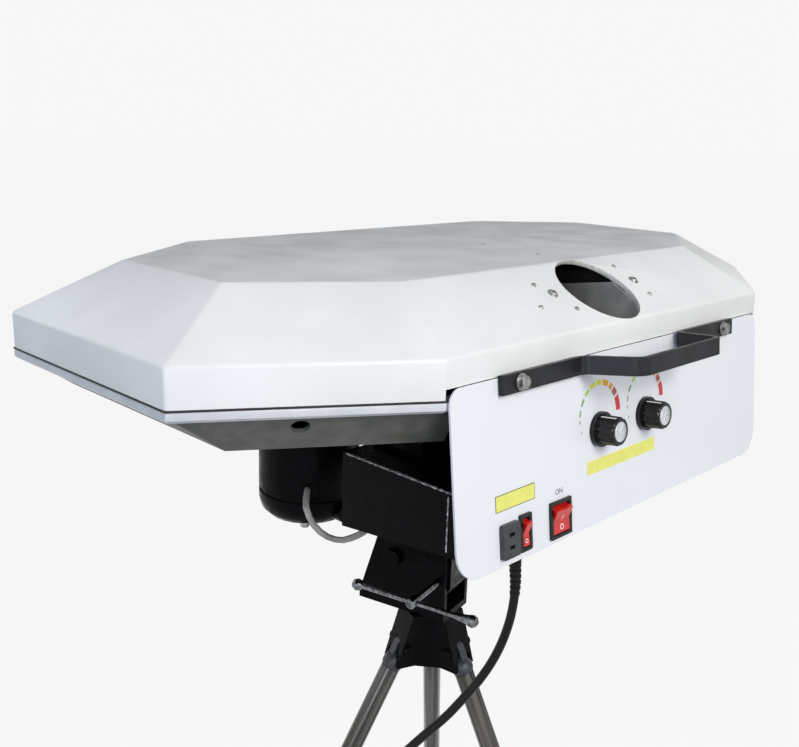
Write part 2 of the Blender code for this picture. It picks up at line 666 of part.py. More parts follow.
def tilt_post(tilt):
    """Steel block that tilts in the yoke; the machine turns on the round table on its top."""
    pivot_y, pivot_z = TILT_AT
    neck = TURNTABLE_TOP - TURNTABLE_THICKNESS
    outline = [(-POST_REAR, neck + 0.001), (-POST_REAR, POST_FOOT + POST_REAR / 3),
               (-POST_REAR * 0.8, POST_FOOT)]
    for i in range(7):
        angle = radians(-105 + 105 * i / 6)
        outline.append((pivot_y + TILT_HUB_RADIUS * cos(angle),
                        pivot_z + TILT_HUB_RADIUS * sin(angle)))
    outline += [(POST_FRONT, pivot_z + TILT_HUB_RADIUS * 2), (POST_FRONT, neck + 0.001)]
    bm = bmesh.new()
    prism(bm, outline, -POST_HALF_WIDTH, POST_HALF_WIDTH, ALONG_X)
    post = piece("tilt_post", bm, "black_paint", tilt)
    bm = bmesh.new()
    turned(bm, [(TURNTABLE_RADIUS, neck), (TURNTABLE_RADIUS, TURNTABLE_TOP)], 28)
    boolean(post, tool("turntable", bm, tilt), "UNION")
    bm = bmesh.new()
    hole = TILT_BOLT_RADIUS + RUN
    turned(bm, [(hole, -0.05), (hole, 0.05)], 16, Matrix.Translation((0, *TILT_AT)) @ TO_LEFT)
    hole = PAN_SPINDLE_RADIUS + GAP
    turned(bm, [(hole, TURNTABLE_TOP - PAN_SPINDLE_DEPTH), (hole, TURNTABLE_TOP + 0.01)], 16)
    boolean(post, tool("tilt_post_cutter", bm, tilt))

    reach = Vector((CLAMP_AT[0] - pivot_y, CLAMP_AT[1] - pivot_z))
    half = CLAMP_RADIUS + RUN
    middle = atan2(reach.y, reach.x) % (2 * pi)
    slot = []
    for end, way in ((1, 1), (-1, -1)):
        throw = TILT_THROW + radians(0.5)
        centre_angle = middle + end * throw
        centre = Vector((cos(centre_angle), sin(centre_angle))) * reach.length
        for i in range(7):
            angle = centre_angle + (pi * i / 6 if way > 0 else pi + pi * i / 6)
            slot.append((pivot_y + centre.x + half * cos(angle),
                         pivot_z + centre.y + half * sin(angle)))
        radius = reach.length - half * way
        for i in range(1, 6):
            angle = centre_angle - way * 2 * throw * i / 6
            slot.append((pivot_y + radius * cos(angle), pivot_z + radius * sin(angle)))
    bm = bmesh.new()
    prism(bm, slot, -0.05, 0.05, ALONG_X)
    boolean(post, tool("clamp_slot", bm, tilt))

    nut_low = DECK_HIGH + GAP
    nut_high = nut_low + PAN_NUT_HEIGHT
    bm = bmesh.new()
    turned(bm, [(PAN_SPINDLE_RADIUS, TURNTABLE_TOP - PAN_SPINDLE_DEPTH + GAP),
                (PAN_SPINDLE_RADIUS, nut_low), (PAN_NUT_RADIUS, nut_low),
                (PAN_NUT_RADIUS, nut_high), (PAN_SPINDLE_RADIUS, nut_high),
                (PAN_SPINDLE_RADIUS, nut_high + 0.002)], 16)
    piece("pan_spindle", bm, "zinc", tilt)
    bm = bmesh.new()
    bore = PAN_SPINDLE_RADIUS + GAP
    low = TURNTABLE_TOP + GAP
    turned_ring(bm, [(bore, low), (TURNTABLE_RADIUS, low),
                     (TURNTABLE_RADIUS, low + THRUST_WASHER), (bore, low + THRUST_WASHER)], 24)
    piece("thrust_washer", bm, "brass", tilt)


def motor(side, way, machine):
    """Round motor that hangs under the tray, with its end bell and two brush caps."""
    low = MOTOR_TOP - MOTOR_LENGTH
    edge = [(MOTOR_RADIUS - MOTOR_EDGE * (1 - sin(a)), low + MOTOR_EDGE * (1 - cos(a)))
            for a in (radians(0), radians(30), radians(60), radians(90))]
    groove = low + MOTOR_BELL
    top_groove = MOTOR_TOP - MOTOR_BELL / 2
    profile = [*edge]
    for height in (groove, top_groove):
        profile += [(MOTOR_RADIUS, height - MOTOR_GROOVE),
                    (MOTOR_RADIUS - MOTOR_GROOVE, height - MOTOR_GROOVE),
                    (MOTOR_RADIUS - MOTOR_GROOVE, height + MOTOR_GROOVE),
                    (MOTOR_RADIUS, height + MOTOR_GROOVE)]
    profile.append((MOTOR_RADIUS, MOTOR_TOP))
    bm = bmesh.new()
    turned(bm, profile, 26)
    body = piece(f"motor_{side}", bm, "black_paint", machine,
                 (way * WHEEL_AXIS_X, WHEEL_AXIS_Y, 0))
    bm = bmesh.new()
    reach = MOTOR_RADIUS + BRUSH_CAP_LENGTH
    turned(bm, [(BRUSH_CAP_RADIUS, -reach), (BRUSH_CAP_RADIUS, reach)], 12,
           facing((0, 0, low + MOTOR_BELL / 2), (0, 1, 0)))
    boolean(body, tool(f"brush_caps_{side}", bm, machine,
                       (way * WHEEL_AXIS_X, WHEEL_AXIS_Y, 0)), "UNION")


def wheel(side, way, machine):
    """Rubber-tyred wheel on the motor's shaft; all three turn together."""
    axis = empty(f"wheel_axis_{side}", machine, (way * WHEEL_AXIS_X, WHEEL_AXIS_Y, 0))
    low = WHEEL_MID_HEIGHT - WHEEL_WIDTH / 2
    high = WHEEL_MID_HEIGHT + WHEEL_WIDTH / 2
    inner = WHEEL_RADIUS - TYRE_THICKNESS
    tread = []
    for i in range(5):
        t = -1 + i / 2
        tread.append((WHEEL_RADIUS - TREAD_HOLLOW * (1 - t * t),
                      WHEEL_MID_HEIGHT + t * (WHEEL_WIDTH / 2 - TREAD_CHAMFER)))
    bm = bmesh.new()
    turned_ring(bm, [(inner, low), (WHEEL_RADIUS - TREAD_CHAMFER, low), *tread,
                     (WHEEL_RADIUS - TREAD_CHAMFER, high), (inner, high)], 44)
    piece(f"wheel_tyre_{side}", bm, "wheel_rubber", axis)

    seat = inner - GAP
    rim = inner - HUB_RIM
    half = HUB_RIM_WIDTH / 2
    web = HUB_WEB / 2
    boss = HUB_BOSS_LENGTH / 2
    mid = WHEEL_MID_HEIGHT
    bore = SHAFT_RADIUS + GAP
    bm = bmesh.new()
    turned_ring(bm, [(bore, mid - boss), (HUB_BOSS_RADIUS, mid - boss), (HUB_BOSS_RADIUS, mid - web),
                     (rim, mid - web), (rim, mid - half), (seat, mid - half),
                     (seat, mid + half), (rim, mid + half), (rim, mid + web),
                     (HUB_BOSS_RADIUS, mid + web), (HUB_BOSS_RADIUS, mid + boss),
                     (bore, mid + boss)], 22)
    hub = piece(f"wheel_hub_{side}", bm, "cast_aluminium", axis)
    bm = bmesh.new()
    for x, y in circle(HUB_HOLE_CIRCLE, HUB_HOLES):
        turned(bm, [(HUB_HOLE_RADIUS, mid - half), (HUB_HOLE_RADIUS, mid + half)], 10,
               Matrix.Translation((x, y, 0)))
    boolean(hub, tool(f"hub_cutter_{side}", bm, axis))

    nut_low = mid + boss + GAP
    nut_high = nut_low + SHAFT_NUT_HEIGHT
    bm = bmesh.new()
    turned(bm, [(SHAFT_RADIUS * 1.6, MOTOR_TOP + GAP), (SHAFT_RADIUS * 1.6, mid - boss - GAP),
                (SHAFT_RADIUS, mid - boss - GAP), (SHAFT_RADIUS, nut_low),
                (SHAFT_NUT_RADIUS, nut_low), (SHAFT_NUT_RADIUS, nut_high),
                (SHAFT_RADIUS, nut_high), (SHAFT_RADIUS, nut_high + SHAFT_NUT_HEIGHT / 2)], 16)
    piece(f"motor_shaft_{side}", bm, "zinc", axis)


def chute_floor(y):
    share = (y - CHUTE_REAR) / (CHUTE_FRONT - CHUTE_REAR)
    return CHUTE_REAR_FLOOR + share * (CHUTE_FRONT_FLOOR - CHUTE_REAR_FLOOR)


def feed_chute(machine):
    """Half pipe from under the feed hole down to the wheels."""
    rings = []
    for y in (CHUTE_REAR, CHUTE_FRONT):
        axis = chute_floor(y) + CHUTE_RADIUS
        ring = []
        outer = CHUTE_RADIUS + CHUTE_WALL
        for radius, turn in ((outer, 1), (CHUTE_RADIUS, -1)):
            arc = [(radius * cos(a), axis + radius * sin(a))
                   for a in (pi + pi * i / 16 for i in range(17))]
            arc = [(arc[0][0], axis + CHUTE_SIDE), *arc, (arc[-1][0], axis + CHUTE_SIDE)]
            ring += arc[::turn]
        rings.append([(x, y, z) for x, z in ring])
    bm = bmesh.new()
    loft(bm, rings)
    chute = piece("feed_chute", bm, "chute_grey", machine)
    bm = bmesh.new()
    box(bm, (-WHEEL_AXIS_X, -COVER_DEPTH, -COVER_WALL - GAP),
        (WHEEL_AXIS_X, COVER_DEPTH, COVER_DEPTH))
    boolean(chute, tool("slope_cutter", bm, machine, rotation=(SLOPE, 0, 0)))


def chute_cradle(machine):
    """Block on the deck that the chute's lower end lies in."""
    rings = []
    for y in (CRADLE_REAR, CRADLE_FRONT):
        axis = chute_floor(y) + CHUTE_RADIUS
        radius = CHUTE_RADIUS + CHUTE_WALL + GAP
        ring = []
        for i in range(9):
            a = -pi / 2 + CRADLE_ARC - 2 * CRADLE_ARC * i / 8
            ring.append((radius * cos(a), y, axis + radius * sin(a)))
        low = DECK_HIGH + GAP
        half = radius * sin(CRADLE_ARC)
        rings.append([(-half, y, low), (half, y, low), *ring])
    bm = bmesh.new()
    loft(bm, rings)
    piece("chute_cradle", bm, "black_paint", machine)


def panel_inner(height):
    """Where the panel's back is, in the machine's directions, at a height."""
    return tan(PANEL_LEAN) * height + (PANEL_THICKNESS + GAP) / cos(PANEL_LEAN)


def box_floor(y):
    """Height of the control box's underside, which keeps square to the panel."""
    return BOX_BOTTOM / cos(PANEL_LEAN) - tan(PANEL_LEAN) * y


def box_profile(wall):
    """Side outline of the lower box; a wall above zero gives the hollow, open behind."""
    floor_rise = wall / cos(PANEL_LEAN)
    front = BOX_FRONT - wall
    rear_top = panel_inner(BOX_TOP - wall)
    corner = (BOX_BOTTOM * sin(PANEL_LEAN) + PANEL_THICKNESS * cos(PANEL_LEAN),
              BOX_BOTTOM * cos(PANEL_LEAN))
    open_by = 0.02 if wall else 0.0
    rear_low = corner[0] + GAP / cos(PANEL_LEAN)
    return [(rear_top - open_by, BOX_TOP - wall),
            (rear_low - open_by, box_floor(rear_low - open_by) + floor_rise),
            (front, box_floor(front) + floor_rise), (front, BOX_TOP - wall)]


def upper_profile(wall):
    """Side outline of the narrower box that stands on the lower one."""
    low = BOX_TOP - wall * 1.5
    open_by = 0.02 if wall else 0.0
    return [(panel_inner(UPPER_BOX_TOP - wall) - open_by, UPPER_BOX_TOP - wall),
            (panel_inner(low) - open_by, low), (UPPER_BOX_FRONT - wall, low),
            (UPPER_BOX_FRONT - wall, UPPER_BOX_TOP - wall)]


def control_box(machine, panel):
    """Black steel box behind the panel, open at the rear, with a narrower upper half.

    Its floor has a deeper well behind the switches, which reach lower than the rest.
    """
    bm = bmesh.new()
    prism(bm, box_profile(0), -BOX_HALF_WIDTH, BOX_HALF_WIDTH, ALONG_X)
    body = piece("control_box", bm, "black_paint", machine)
    left, right = WELL_SIDES
    bm = bmesh.new()
    box(bm, (left, PANEL_THICKNESS + GAP, WELL_BOTTOM), (right, WELL_FRONT, BOX_BOTTOM + 0.01))
    boolean(body, tool("switch_well", bm, panel), "UNION")
    steps = (("upper_box", upper_profile(0), UPPER_BOX_HALF_WIDTH, "UNION"),
             ("lower_hollow", box_profile(BOX_WALL), BOX_HALF_WIDTH - BOX_WALL, "DIFFERENCE"),
             ("upper_hollow", upper_profile(BOX_WALL), UPPER_BOX_HALF_WIDTH - BOX_WALL,
              "DIFFERENCE"))
    for name, outline, half, operation in steps:
        bm = bmesh.new()
        prism(bm, outline, -half, half, ALONG_X)
        boolean(body, tool(name, bm, machine), operation)
    bm = bmesh.new()
    box(bm, (left + BOX_WALL, -0.01, WELL_BOTTOM + BOX_WALL),
        (right - BOX_WALL, WELL_FRONT - BOX_WALL, BOX_BOTTOM + 0.02))
    boolean(body, tool("well_hollow", bm, panel))


def speed_drive(side, way, machine):
    """Finned heat sink under the box's roof, with its circuit board across the fins."""
    top = BOX_TOP - BOX_WALL - GAP
    low = top - HEAT_SINK_BASE - HEAT_SINK_FIN
    pitch = HEAT_SINK_WIDTH / (HEAT_SINK_FINS * 2 - 1)
    left = way * HEAT_SINK_X - HEAT_SINK_WIDTH / 2
    front = HEAT_SINK_REAR + HEAT_SINK_DEPTH
    bm = bmesh.new()
    box(bm, (left, HEAT_SINK_REAR, low), (left + HEAT_SINK_WIDTH, front, top))
    drive = piece(f"speed_drive_{side}", bm, "cast_aluminium", machine)
    bm = bmesh.new()
    box(bm, (left - 0.004, HEAT_SINK_REAR - 0.006, low - BOARD_THICKNESS),
        (left + HEAT_SINK_WIDTH + 0.004, front + 0.006, low + 0.0002))
    boolean(drive, tool(f"drive_board_{side}", bm, machine), "UNION")
    bm = bmesh.new()
    for i in range(HEAT_SINK_FINS - 1):
        edge = left + (2 * i + 1) * pitch
        box(bm, (edge, HEAT_SINK_REAR - 0.01, low + 0.0002),
            (edge + pitch, front + 0.01, top - HEAT_SINK_BASE))
    boolean(drive, tool(f"drive_channels_{side}", bm, machine))


def control_panel(panel):
    """White plate with the cut-outs for all that is fitted through it."""
    height = PANEL_TOP - PANEL_BOTTOM
    outline = rounded_rect(0, (PANEL_TOP + PANEL_BOTTOM) / 2, PANEL_HALF_WIDTH * 2, height,
                           PANEL_TOP_CORNER, 6, PANEL_LOW_CORNER)
    bm = bmesh.new()
    prism(bm, outline, 0, PANEL_THICKNESS, ALONG_Y)
    plate = piece("control_panel", bm, "panel_white", panel)
    bm = bmesh.new()
    for x in KNOB_X:
        turned(bm, [(POT_HOLE_RADIUS, -0.01), (POT_HOLE_RADIUS, 0.01)], 12,
               on_panel(x, KNOB_HEIGHT))
    for way in (-1, 1):
        turned(bm, [(HANDLE_HOLE_RADIUS, -0.01), (HANDLE_HOLE_RADIUS, 0.01)], 12,
               on_panel(HANDLE_CENTRE_X + way * HANDLE_BOLT_X, HANDLE_HEIGHT))
    for centre, size in ((MAIN_SWITCH_AT, MAIN_SWITCH_SIZE), (FEEDER_SWITCH_AT, FEEDER_SWITCH_SIZE),
                         (SOCKET_AT, SOCKET_SIZE)):
        x = size[0] / 2 - SWITCH_FRAME / 2
        z = size[1] / 2 - SWITCH_FRAME / 2
        box(bm, (centre[0] - x, -0.01, centre[1] - z), (centre[0] + x, 0.01, centre[1] + z))
    boolean(plate, tool("panel_cutter", bm, panel))


def handle(panel):
    """Flat bar bent out from the panel into a grip, on two bolts."""
    t = HANDLE_BAR_THICKNESS / 2
    near = -GAP - t
    out = -HANDLE_STANDOFF - t
    corners = [(-HANDLE_HALF_LENGTH, near), (-HANDLE_FOOT_INNER, near), (-HANDLE_GRIP_HALF, out),
               (HANDLE_GRIP_HALF, out), (HANDLE_FOOT_INNER, near), (HANDLE_HALF_LENGTH, near)]
    line = [Vector(corners[0])]
    for before, corner, after in zip(corners, corners[1:], corners[2:]):
        corner = Vector(corner)
        to_before = (Vector(before) - corner).normalized()
        to_after = (Vector(after) - corner).normalized()
        half = to_before.angle(to_after) / 2
        reach = HANDLE_BEND / tan(half)
        centre = corner + (to_before + to_after).normalized() * (HANDLE_BEND / sin(half))
        start = corner + to_before * reach - centre
        end = corner + to_after * reach - centre
        for i in range(6):
            turn = start.slerp(end, i / 5)
            line.append(centre + turn.normalized() * HANDLE_BEND)
    line.append(Vector(corners[-1]))
    left, right = [], []
    for i, point in enumerate(line):
        along = (line[min(i + 1, len(line) - 1)] - line[max(i - 1, 0)]).normalized()
        side = Vector((-along.y, along.x)) * t
        left.append(point + side)
        right.append(point - side)
    outline = [(p.x + HANDLE_CENTRE_X, p.y) for p in left + right[::-1]]
    half_height = HANDLE_BAR_HEIGHT / 2
    bm = bmesh.new()
    prism(bm, outline, HANDLE_HEIGHT - half_height, HANDLE_HEIGHT + half_height)
    bar = piece("push_handle", bm, "black_paint", panel)
    bm = bmesh.new()
    for way in (-1, 1):
        turned(bm, [(HANDLE_HOLE_RADIUS, -0.001), (HANDLE_HOLE_RADIUS, 0.01)], 12,
               on_panel(HANDLE_CENTRE_X + way * HANDLE_BOLT_X, HANDLE_HEIGHT))
    boolean(bar, tool("handle_cutter", bm, panel))

    face = GAP + HANDLE_BAR_THICKNESS + GAP
    back = -PANEL_THICKNESS - GAP
    for side, way in (("left", -1), ("right", 1)):
        bm = bmesh.new()
        at = on_panel(HANDLE_CENTRE_X + way * HANDLE_BOLT_X, HANDLE_HEIGHT)
        turned(bm, [(BOLT_HEAD_RADIUS, back - BOLT_HEAD_HEIGHT), (BOLT_HEAD_RADIUS, back),
                    (HANDLE_BOLT_RADIUS, back), (HANDLE_BOLT_RADIUS, face),
                    (WASHER_RADIUS, face), (WASHER_RADIUS, face + WASHER_HEIGHT),
                    (BOLT_HEAD_RADIUS, face + WASHER_HEIGHT),
                    (BOLT_HEAD_RADIUS, face + WASHER_HEIGHT + BOLT_HEAD_HEIGHT)], 14, at)
        piece(f"handle_bolt_{side}", bm, "zinc", panel)


def knob(side, x, panel):
    """Fluted speed knob on its potentiometer's shaft, with a bright insert in its face."""
    axis = empty(f"knob_axis_{side}", panel, (x, 0, KNOB_HEIGHT))
    count = KNOB_FLUTES * 3
    bore = POT_SHAFT_RADIUS + GAP

    def fluted(radius, depth):
        return [(radius - depth * (i % 3 == 0), 2 * pi * i / count) for i in range(count)]

    def ring(radii, height):
        return [OUT_OF_PANEL @ Vector((r * cos(a), r * sin(a), height)) for r, a in radii]

    skirt = GAP + KNOB_SKIRT_HEIGHT
    rings = [ring(fluted(KNOB_SKIRT_RADIUS, 0), GAP),
             ring(fluted(KNOB_SKIRT_RADIUS, 0), skirt),
             ring(fluted(KNOB_BODY_RADIUS, KNOB_FLUTE_DEPTH), skirt),
             ring(fluted(KNOB_BODY_RADIUS - 0.0004, KNOB_FLUTE_DEPTH), KNOB_LENGTH - 0.0012),
             ring(fluted(KNOB_BODY_RADIUS - 0.0016, 0), KNOB_LENGTH),
             ring(fluted(KNOB_INSERT_RADIUS + GAP, 0), KNOB_LENGTH),
             ring(fluted(KNOB_INSERT_RADIUS + GAP, 0), KNOB_LENGTH - KNOB_RECESS)]
    bm = bmesh.new()
    loft(bm, rings)
    body = piece(f"speed_knob_{side}", bm, "gloss_black", axis)
    bm = bmesh.new()
    turned(bm, [(bore, -0.01), (bore, POT_SHAFT_LENGTH + GAP)], 12, OUT_OF_PANEL)
    boolean(body, tool(f"knob_bore_{side}", bm, axis))

    bm = bmesh.new()
    base = KNOB_LENGTH - KNOB_RECESS + GAP
    turned(bm, [(KNOB_INSERT_RADIUS, base), (KNOB_INSERT_RADIUS, KNOB_LENGTH + 0.0001),
                (KNOB_INSERT_RADIUS - 0.0012, KNOB_LENGTH + 0.0005)], 24, OUT_OF_PANEL)
    piece(f"knob_insert_{side}", bm, "silver_insert", axis)

    back = -PANEL_THICKNESS - GAP
    bm = bmesh.new()
    turned(bm, [(POT_CAN_RADIUS, back - POT_CAN_LENGTH), (POT_CAN_RADIUS, back),
                (POT_BUSH_RADIUS, back), (POT_BUSH_RADIUS, -GAP),
                (POT_SHAFT_RADIUS, -GAP), (POT_SHAFT_RADIUS, POT_SHAFT_LENGTH)], 16,
           on_panel(x, KNOB_HEIGHT))
    piece(f"potentiometer_{side}", bm, "zinc", panel)


def rocker_switch(name, centre, size, panel):
    """Black snap-in frame and the red rocker that tips in it."""
    width, height = size
    frame = SWITCH_FRAME
    bm = bmesh.new()
    body_x = width / 2 - frame / 2 - GAP
    body_z = height / 2 - frame / 2 - GAP
    outer = rounded_rect(*centre, width, height, 0.0012, 2)
    inner = rounded_rect(*centre, body_x * 2, body_z * 2, 0.0008, 2)
    hollow = rounded_rect(*centre, width - frame * 2, height - frame * 2, 0.0006, 2)
    floor = ROCKER_PIVOT_DEPTH + 0.0060
    loft(bm, [[(x, y, z) for x, z in outline] for outline, y in (
        (inner, SWITCH_BODY_DEPTH), (inner, -GAP), (outer, -GAP), (outer, -GAP - SWITCH_PROUD),
        (hollow, -GAP - SWITCH_PROUD), (hollow, floor))])
    piece(f"{name}_frame", bm, "gloss_black", panel)

    axis = empty(f"{name}_axis", panel, (centre[0], ROCKER_PIVOT_DEPTH, centre[1]))
    half = height / 2 - frame - RUN * 2
    face = -ROCKER_PIVOT_DEPTH - SWITCH_PROUD - GAP
    to_middle = Matrix.Rotation(-ROCKER_THROW / 2, 2)
    corner = to_middle @ Vector((face, -half))
    seat = (0.0006, half - 0.0004)
    outline = [(0.0035, -half * 0.45), (0.0035, half * 0.45), seat, (corner.x, -corner.y),
               (corner.x + ROCKER_WAIST, 0), tuple(corner), (seat[0], -seat[1])]
    at_rest = to_middle.transposed()
    half_width = width / 2 - frame - RUN
    bm = bmesh.new()
    prism(bm, [tuple(at_rest @ Vector(point)) for point in outline], -half_width, half_width,
          ALONG_X)
    piece(f"{name}_rocker", bm, "red_plastic", axis)


def power_socket(panel):
    """Small raised outlet for the automatic ball feeder, with two slots."""
    centre = SOCKET_AT
    width, height = SOCKET_SIZE
    body = rounded_rect(*centre, width - SWITCH_FRAME - GAP * 2, height - SWITCH_FRAME - GAP * 2,
                        0.0008, 2)
    face = rounded_rect(*centre, width, height, 0.0015, 2)
    shelf = -GAP - SOCKET_PROUD
    bm = bmesh.new()
    loft(bm, [[(x, y, z) for x, z in outline] for outline, y in (
        (body, SOCKET_BODY_DEPTH), (body, -GAP), (face, -GAP), (face, shelf))])
    item = piece("feeder_socket", bm, "grey_plastic", panel)
    bm = bmesh.new()
    wide, tall, deep = SOCKET_SLOT
    for way in (-1, 1):
        z = centre[1] + way * 0.0050
        box(bm, (centre[0] - wide / 2, shelf - 0.01, z - tall / 2),
            (centre[0] + wide / 2, shelf + deep, z + tall / 2))
    boolean(item, tool("socket_cutter", bm, panel))


def cord_gland(panel):
    """Collar and tapered sleeve that the mains lead leaves the box through."""
    top = WELL_BOTTOM - GAP
    bm = bmesh.new()
    turned(bm, [(GLAND_COLLAR_RADIUS, top), (GLAND_COLLAR_RADIUS, top - GLAND_COLLAR_HEIGHT),
                (GLAND_RADIUS, top - GLAND_COLLAR_HEIGHT), (GLAND_TIP_RADIUS, top - GLAND_LENGTH)],
           20, Matrix.Translation((*GLAND_AT, 0)))
    piece("cord_gland", bm, "cord_black", panel)


def yoke(turned_yoke):
    """U-shaped bracket whose two cheeks widen towards a base plate on the tripod's head."""
    outline = [(YOKE_REAR, YOKE_LOW), (YOKE_FRONT, YOKE_LOW), (YOKE_FRONT, YOKE_BASE_TOP),
               (YOKE_TOP_FRONT, YOKE_TOP), (YOKE_REAR + YOKE_SHOULDER, YOKE_TOP),
               (YOKE_REAR, YOKE_TOP - YOKE_SHOULDER)]
    bm = bmesh.new()
    prism(bm, outline, -YOKE_OUTER_HALF, YOKE_OUTER_HALF, ALONG_X)
    item = piece("tilt_yoke", bm, "black_paint", turned_yoke)
    bm = bmesh.new()
    box(bm, (-YOKE_INNER_HALF, YOKE_REAR - 0.01, YOKE_BASE_TOP),
        (YOKE_INNER_HALF, YOKE_FRONT + 0.01, YOKE_TOP + 0.01))
    boolean(item, tool("yoke_slot", bm, turned_yoke))
    bm = bmesh.new()
    for radius, at in ((TILT_BOLT_RADIUS + GAP, TILT_AT), (CLAMP_RADIUS + GAP, CLAMP_AT)):
        turned(bm, [(radius, -0.06), (radius, 0.06)], 16, Matrix.Translation((0, *at)) @ TO_LEFT)
    hole = HEAD_BOLT_RADIUS + GAP
    turned(bm, [(hole, YOKE_LOW - 0.01), (hole, YOKE_BASE_TOP + 0.01)], 16)
    boolean(item, tool("yoke_cutter", bm, turned_yoke))

    half = YOKE_OUTER_HALF + GAP
    bm = bmesh.new()
    turned(bm, [(TILT_HEAD_RADIUS, -half - TILT_HEAD_HEIGHT), (TILT_HEAD_RADIUS, -half),
                (TILT_BOLT_RADIUS, -half), (TILT_BOLT_RADIUS, half), (TILT_HEAD_RADIUS, half),
                (TILT_HEAD_RADIUS, half + TILT_HEAD_HEIGHT)], 16,
           Matrix.Translation((0, *TILT_AT)) @ TO_LEFT)
    piece("tilt_bolt", bm, "black_paint", turned_yoke)

    nut_top = HEAD_LOW + HEAD_NUT_HEIGHT + GAP
    head = YOKE_BASE_TOP + GAP
    bm = bmesh.new()
    turned(bm, [(HEAD_NUT_RADIUS, nut_top - HEAD_NUT_HEIGHT), (HEAD_NUT_RADIUS, nut_top),
                (HEAD_BOLT_RADIUS, nut_top), (HEAD_BOLT_RADIUS, head),
                (HEAD_BOLT_HEAD_RADIUS, head),
                (HEAD_BOLT_HEAD_RADIUS, head + HEAD_BOLT_HEAD_HEIGHT)], 16)
    piece("head_bolt", bm, "zinc", turned_yoke)


def clamp(turned_yoke):
    """Clamp screw through both cheeks and the post's slot, and the bar that slides in it."""
    axis = empty("clamp_axis", turned_yoke, (0, *CLAMP_AT))
    end = YOKE_OUTER_HALF + CLAMP_OUTSIDE
    neck = end - CLAMP_HEAD_LENGTH
    bm = bmesh.new()
    turned(bm, [(CLAMP_RADIUS * 0.8, -YOKE_OUTER_HALF), (CLAMP_RADIUS, 0.0008 - YOKE_OUTER_HALF),
                (CLAMP_RADIUS, neck), (CLAMP_HEAD_RADIUS, neck),
                (CLAMP_HEAD_RADIUS, end - 0.0010), (CLAMP_HEAD_RADIUS - 0.0010, end)], 16, TO_LEFT)
    screw = piece("clamp_screw", bm, "chrome", axis)
    bar_x = -end + CLAMP_HEAD_LENGTH / 2
    hole = TOMMY_RADIUS + GAP
    bm = bmesh.new()
    turned(bm, [(hole, -0.02), (hole, 0.02)], 16, facing((bar_x, 0, 0), (0, 1, 0)))
    boolean(screw, tool("clamp_cutter", bm, axis))

    ball = TOMMY_BALL_RADIUS
    arc = [(ball * sin(a), ball * cos(a))
           for a in (radians(18), radians(50), radians(85), radians(120))]
    start = pi - asin(TOMMY_RADIUS / ball)
    neck_point = (TOMMY_RADIUS, ball * cos(start))
    far = [(r, TOMMY_HALF_LENGTH + z) for r, z in [*arc, neck_point]]
    near = [(r, -TOMMY_HALF_LENGTH - z) for r, z in arc][::-1]
    sleeve = [(TOMMY_RADIUS, -TOMMY_HALF_LENGTH + ball + TOMMY_SLEEVE_LENGTH),
              (TOMMY_SLEEVE_RADIUS, -TOMMY_HALF_LENGTH + ball * 0.8)]
    bm = bmesh.new()
    turned(bm, [*far, *sleeve, *near], 12, facing((bar_x, 0, 0), (0, 1, 0)))
    piece("tommy_bar", bm, "chrome", axis)


def leg_directions(azimuth):
    """Outward and sideways directions of a leg, level with the floor."""
    outward = Vector((sin(azimuth), cos(azimuth), 0))
    return outward, Vector((0, 0, 1)).cross(outward)


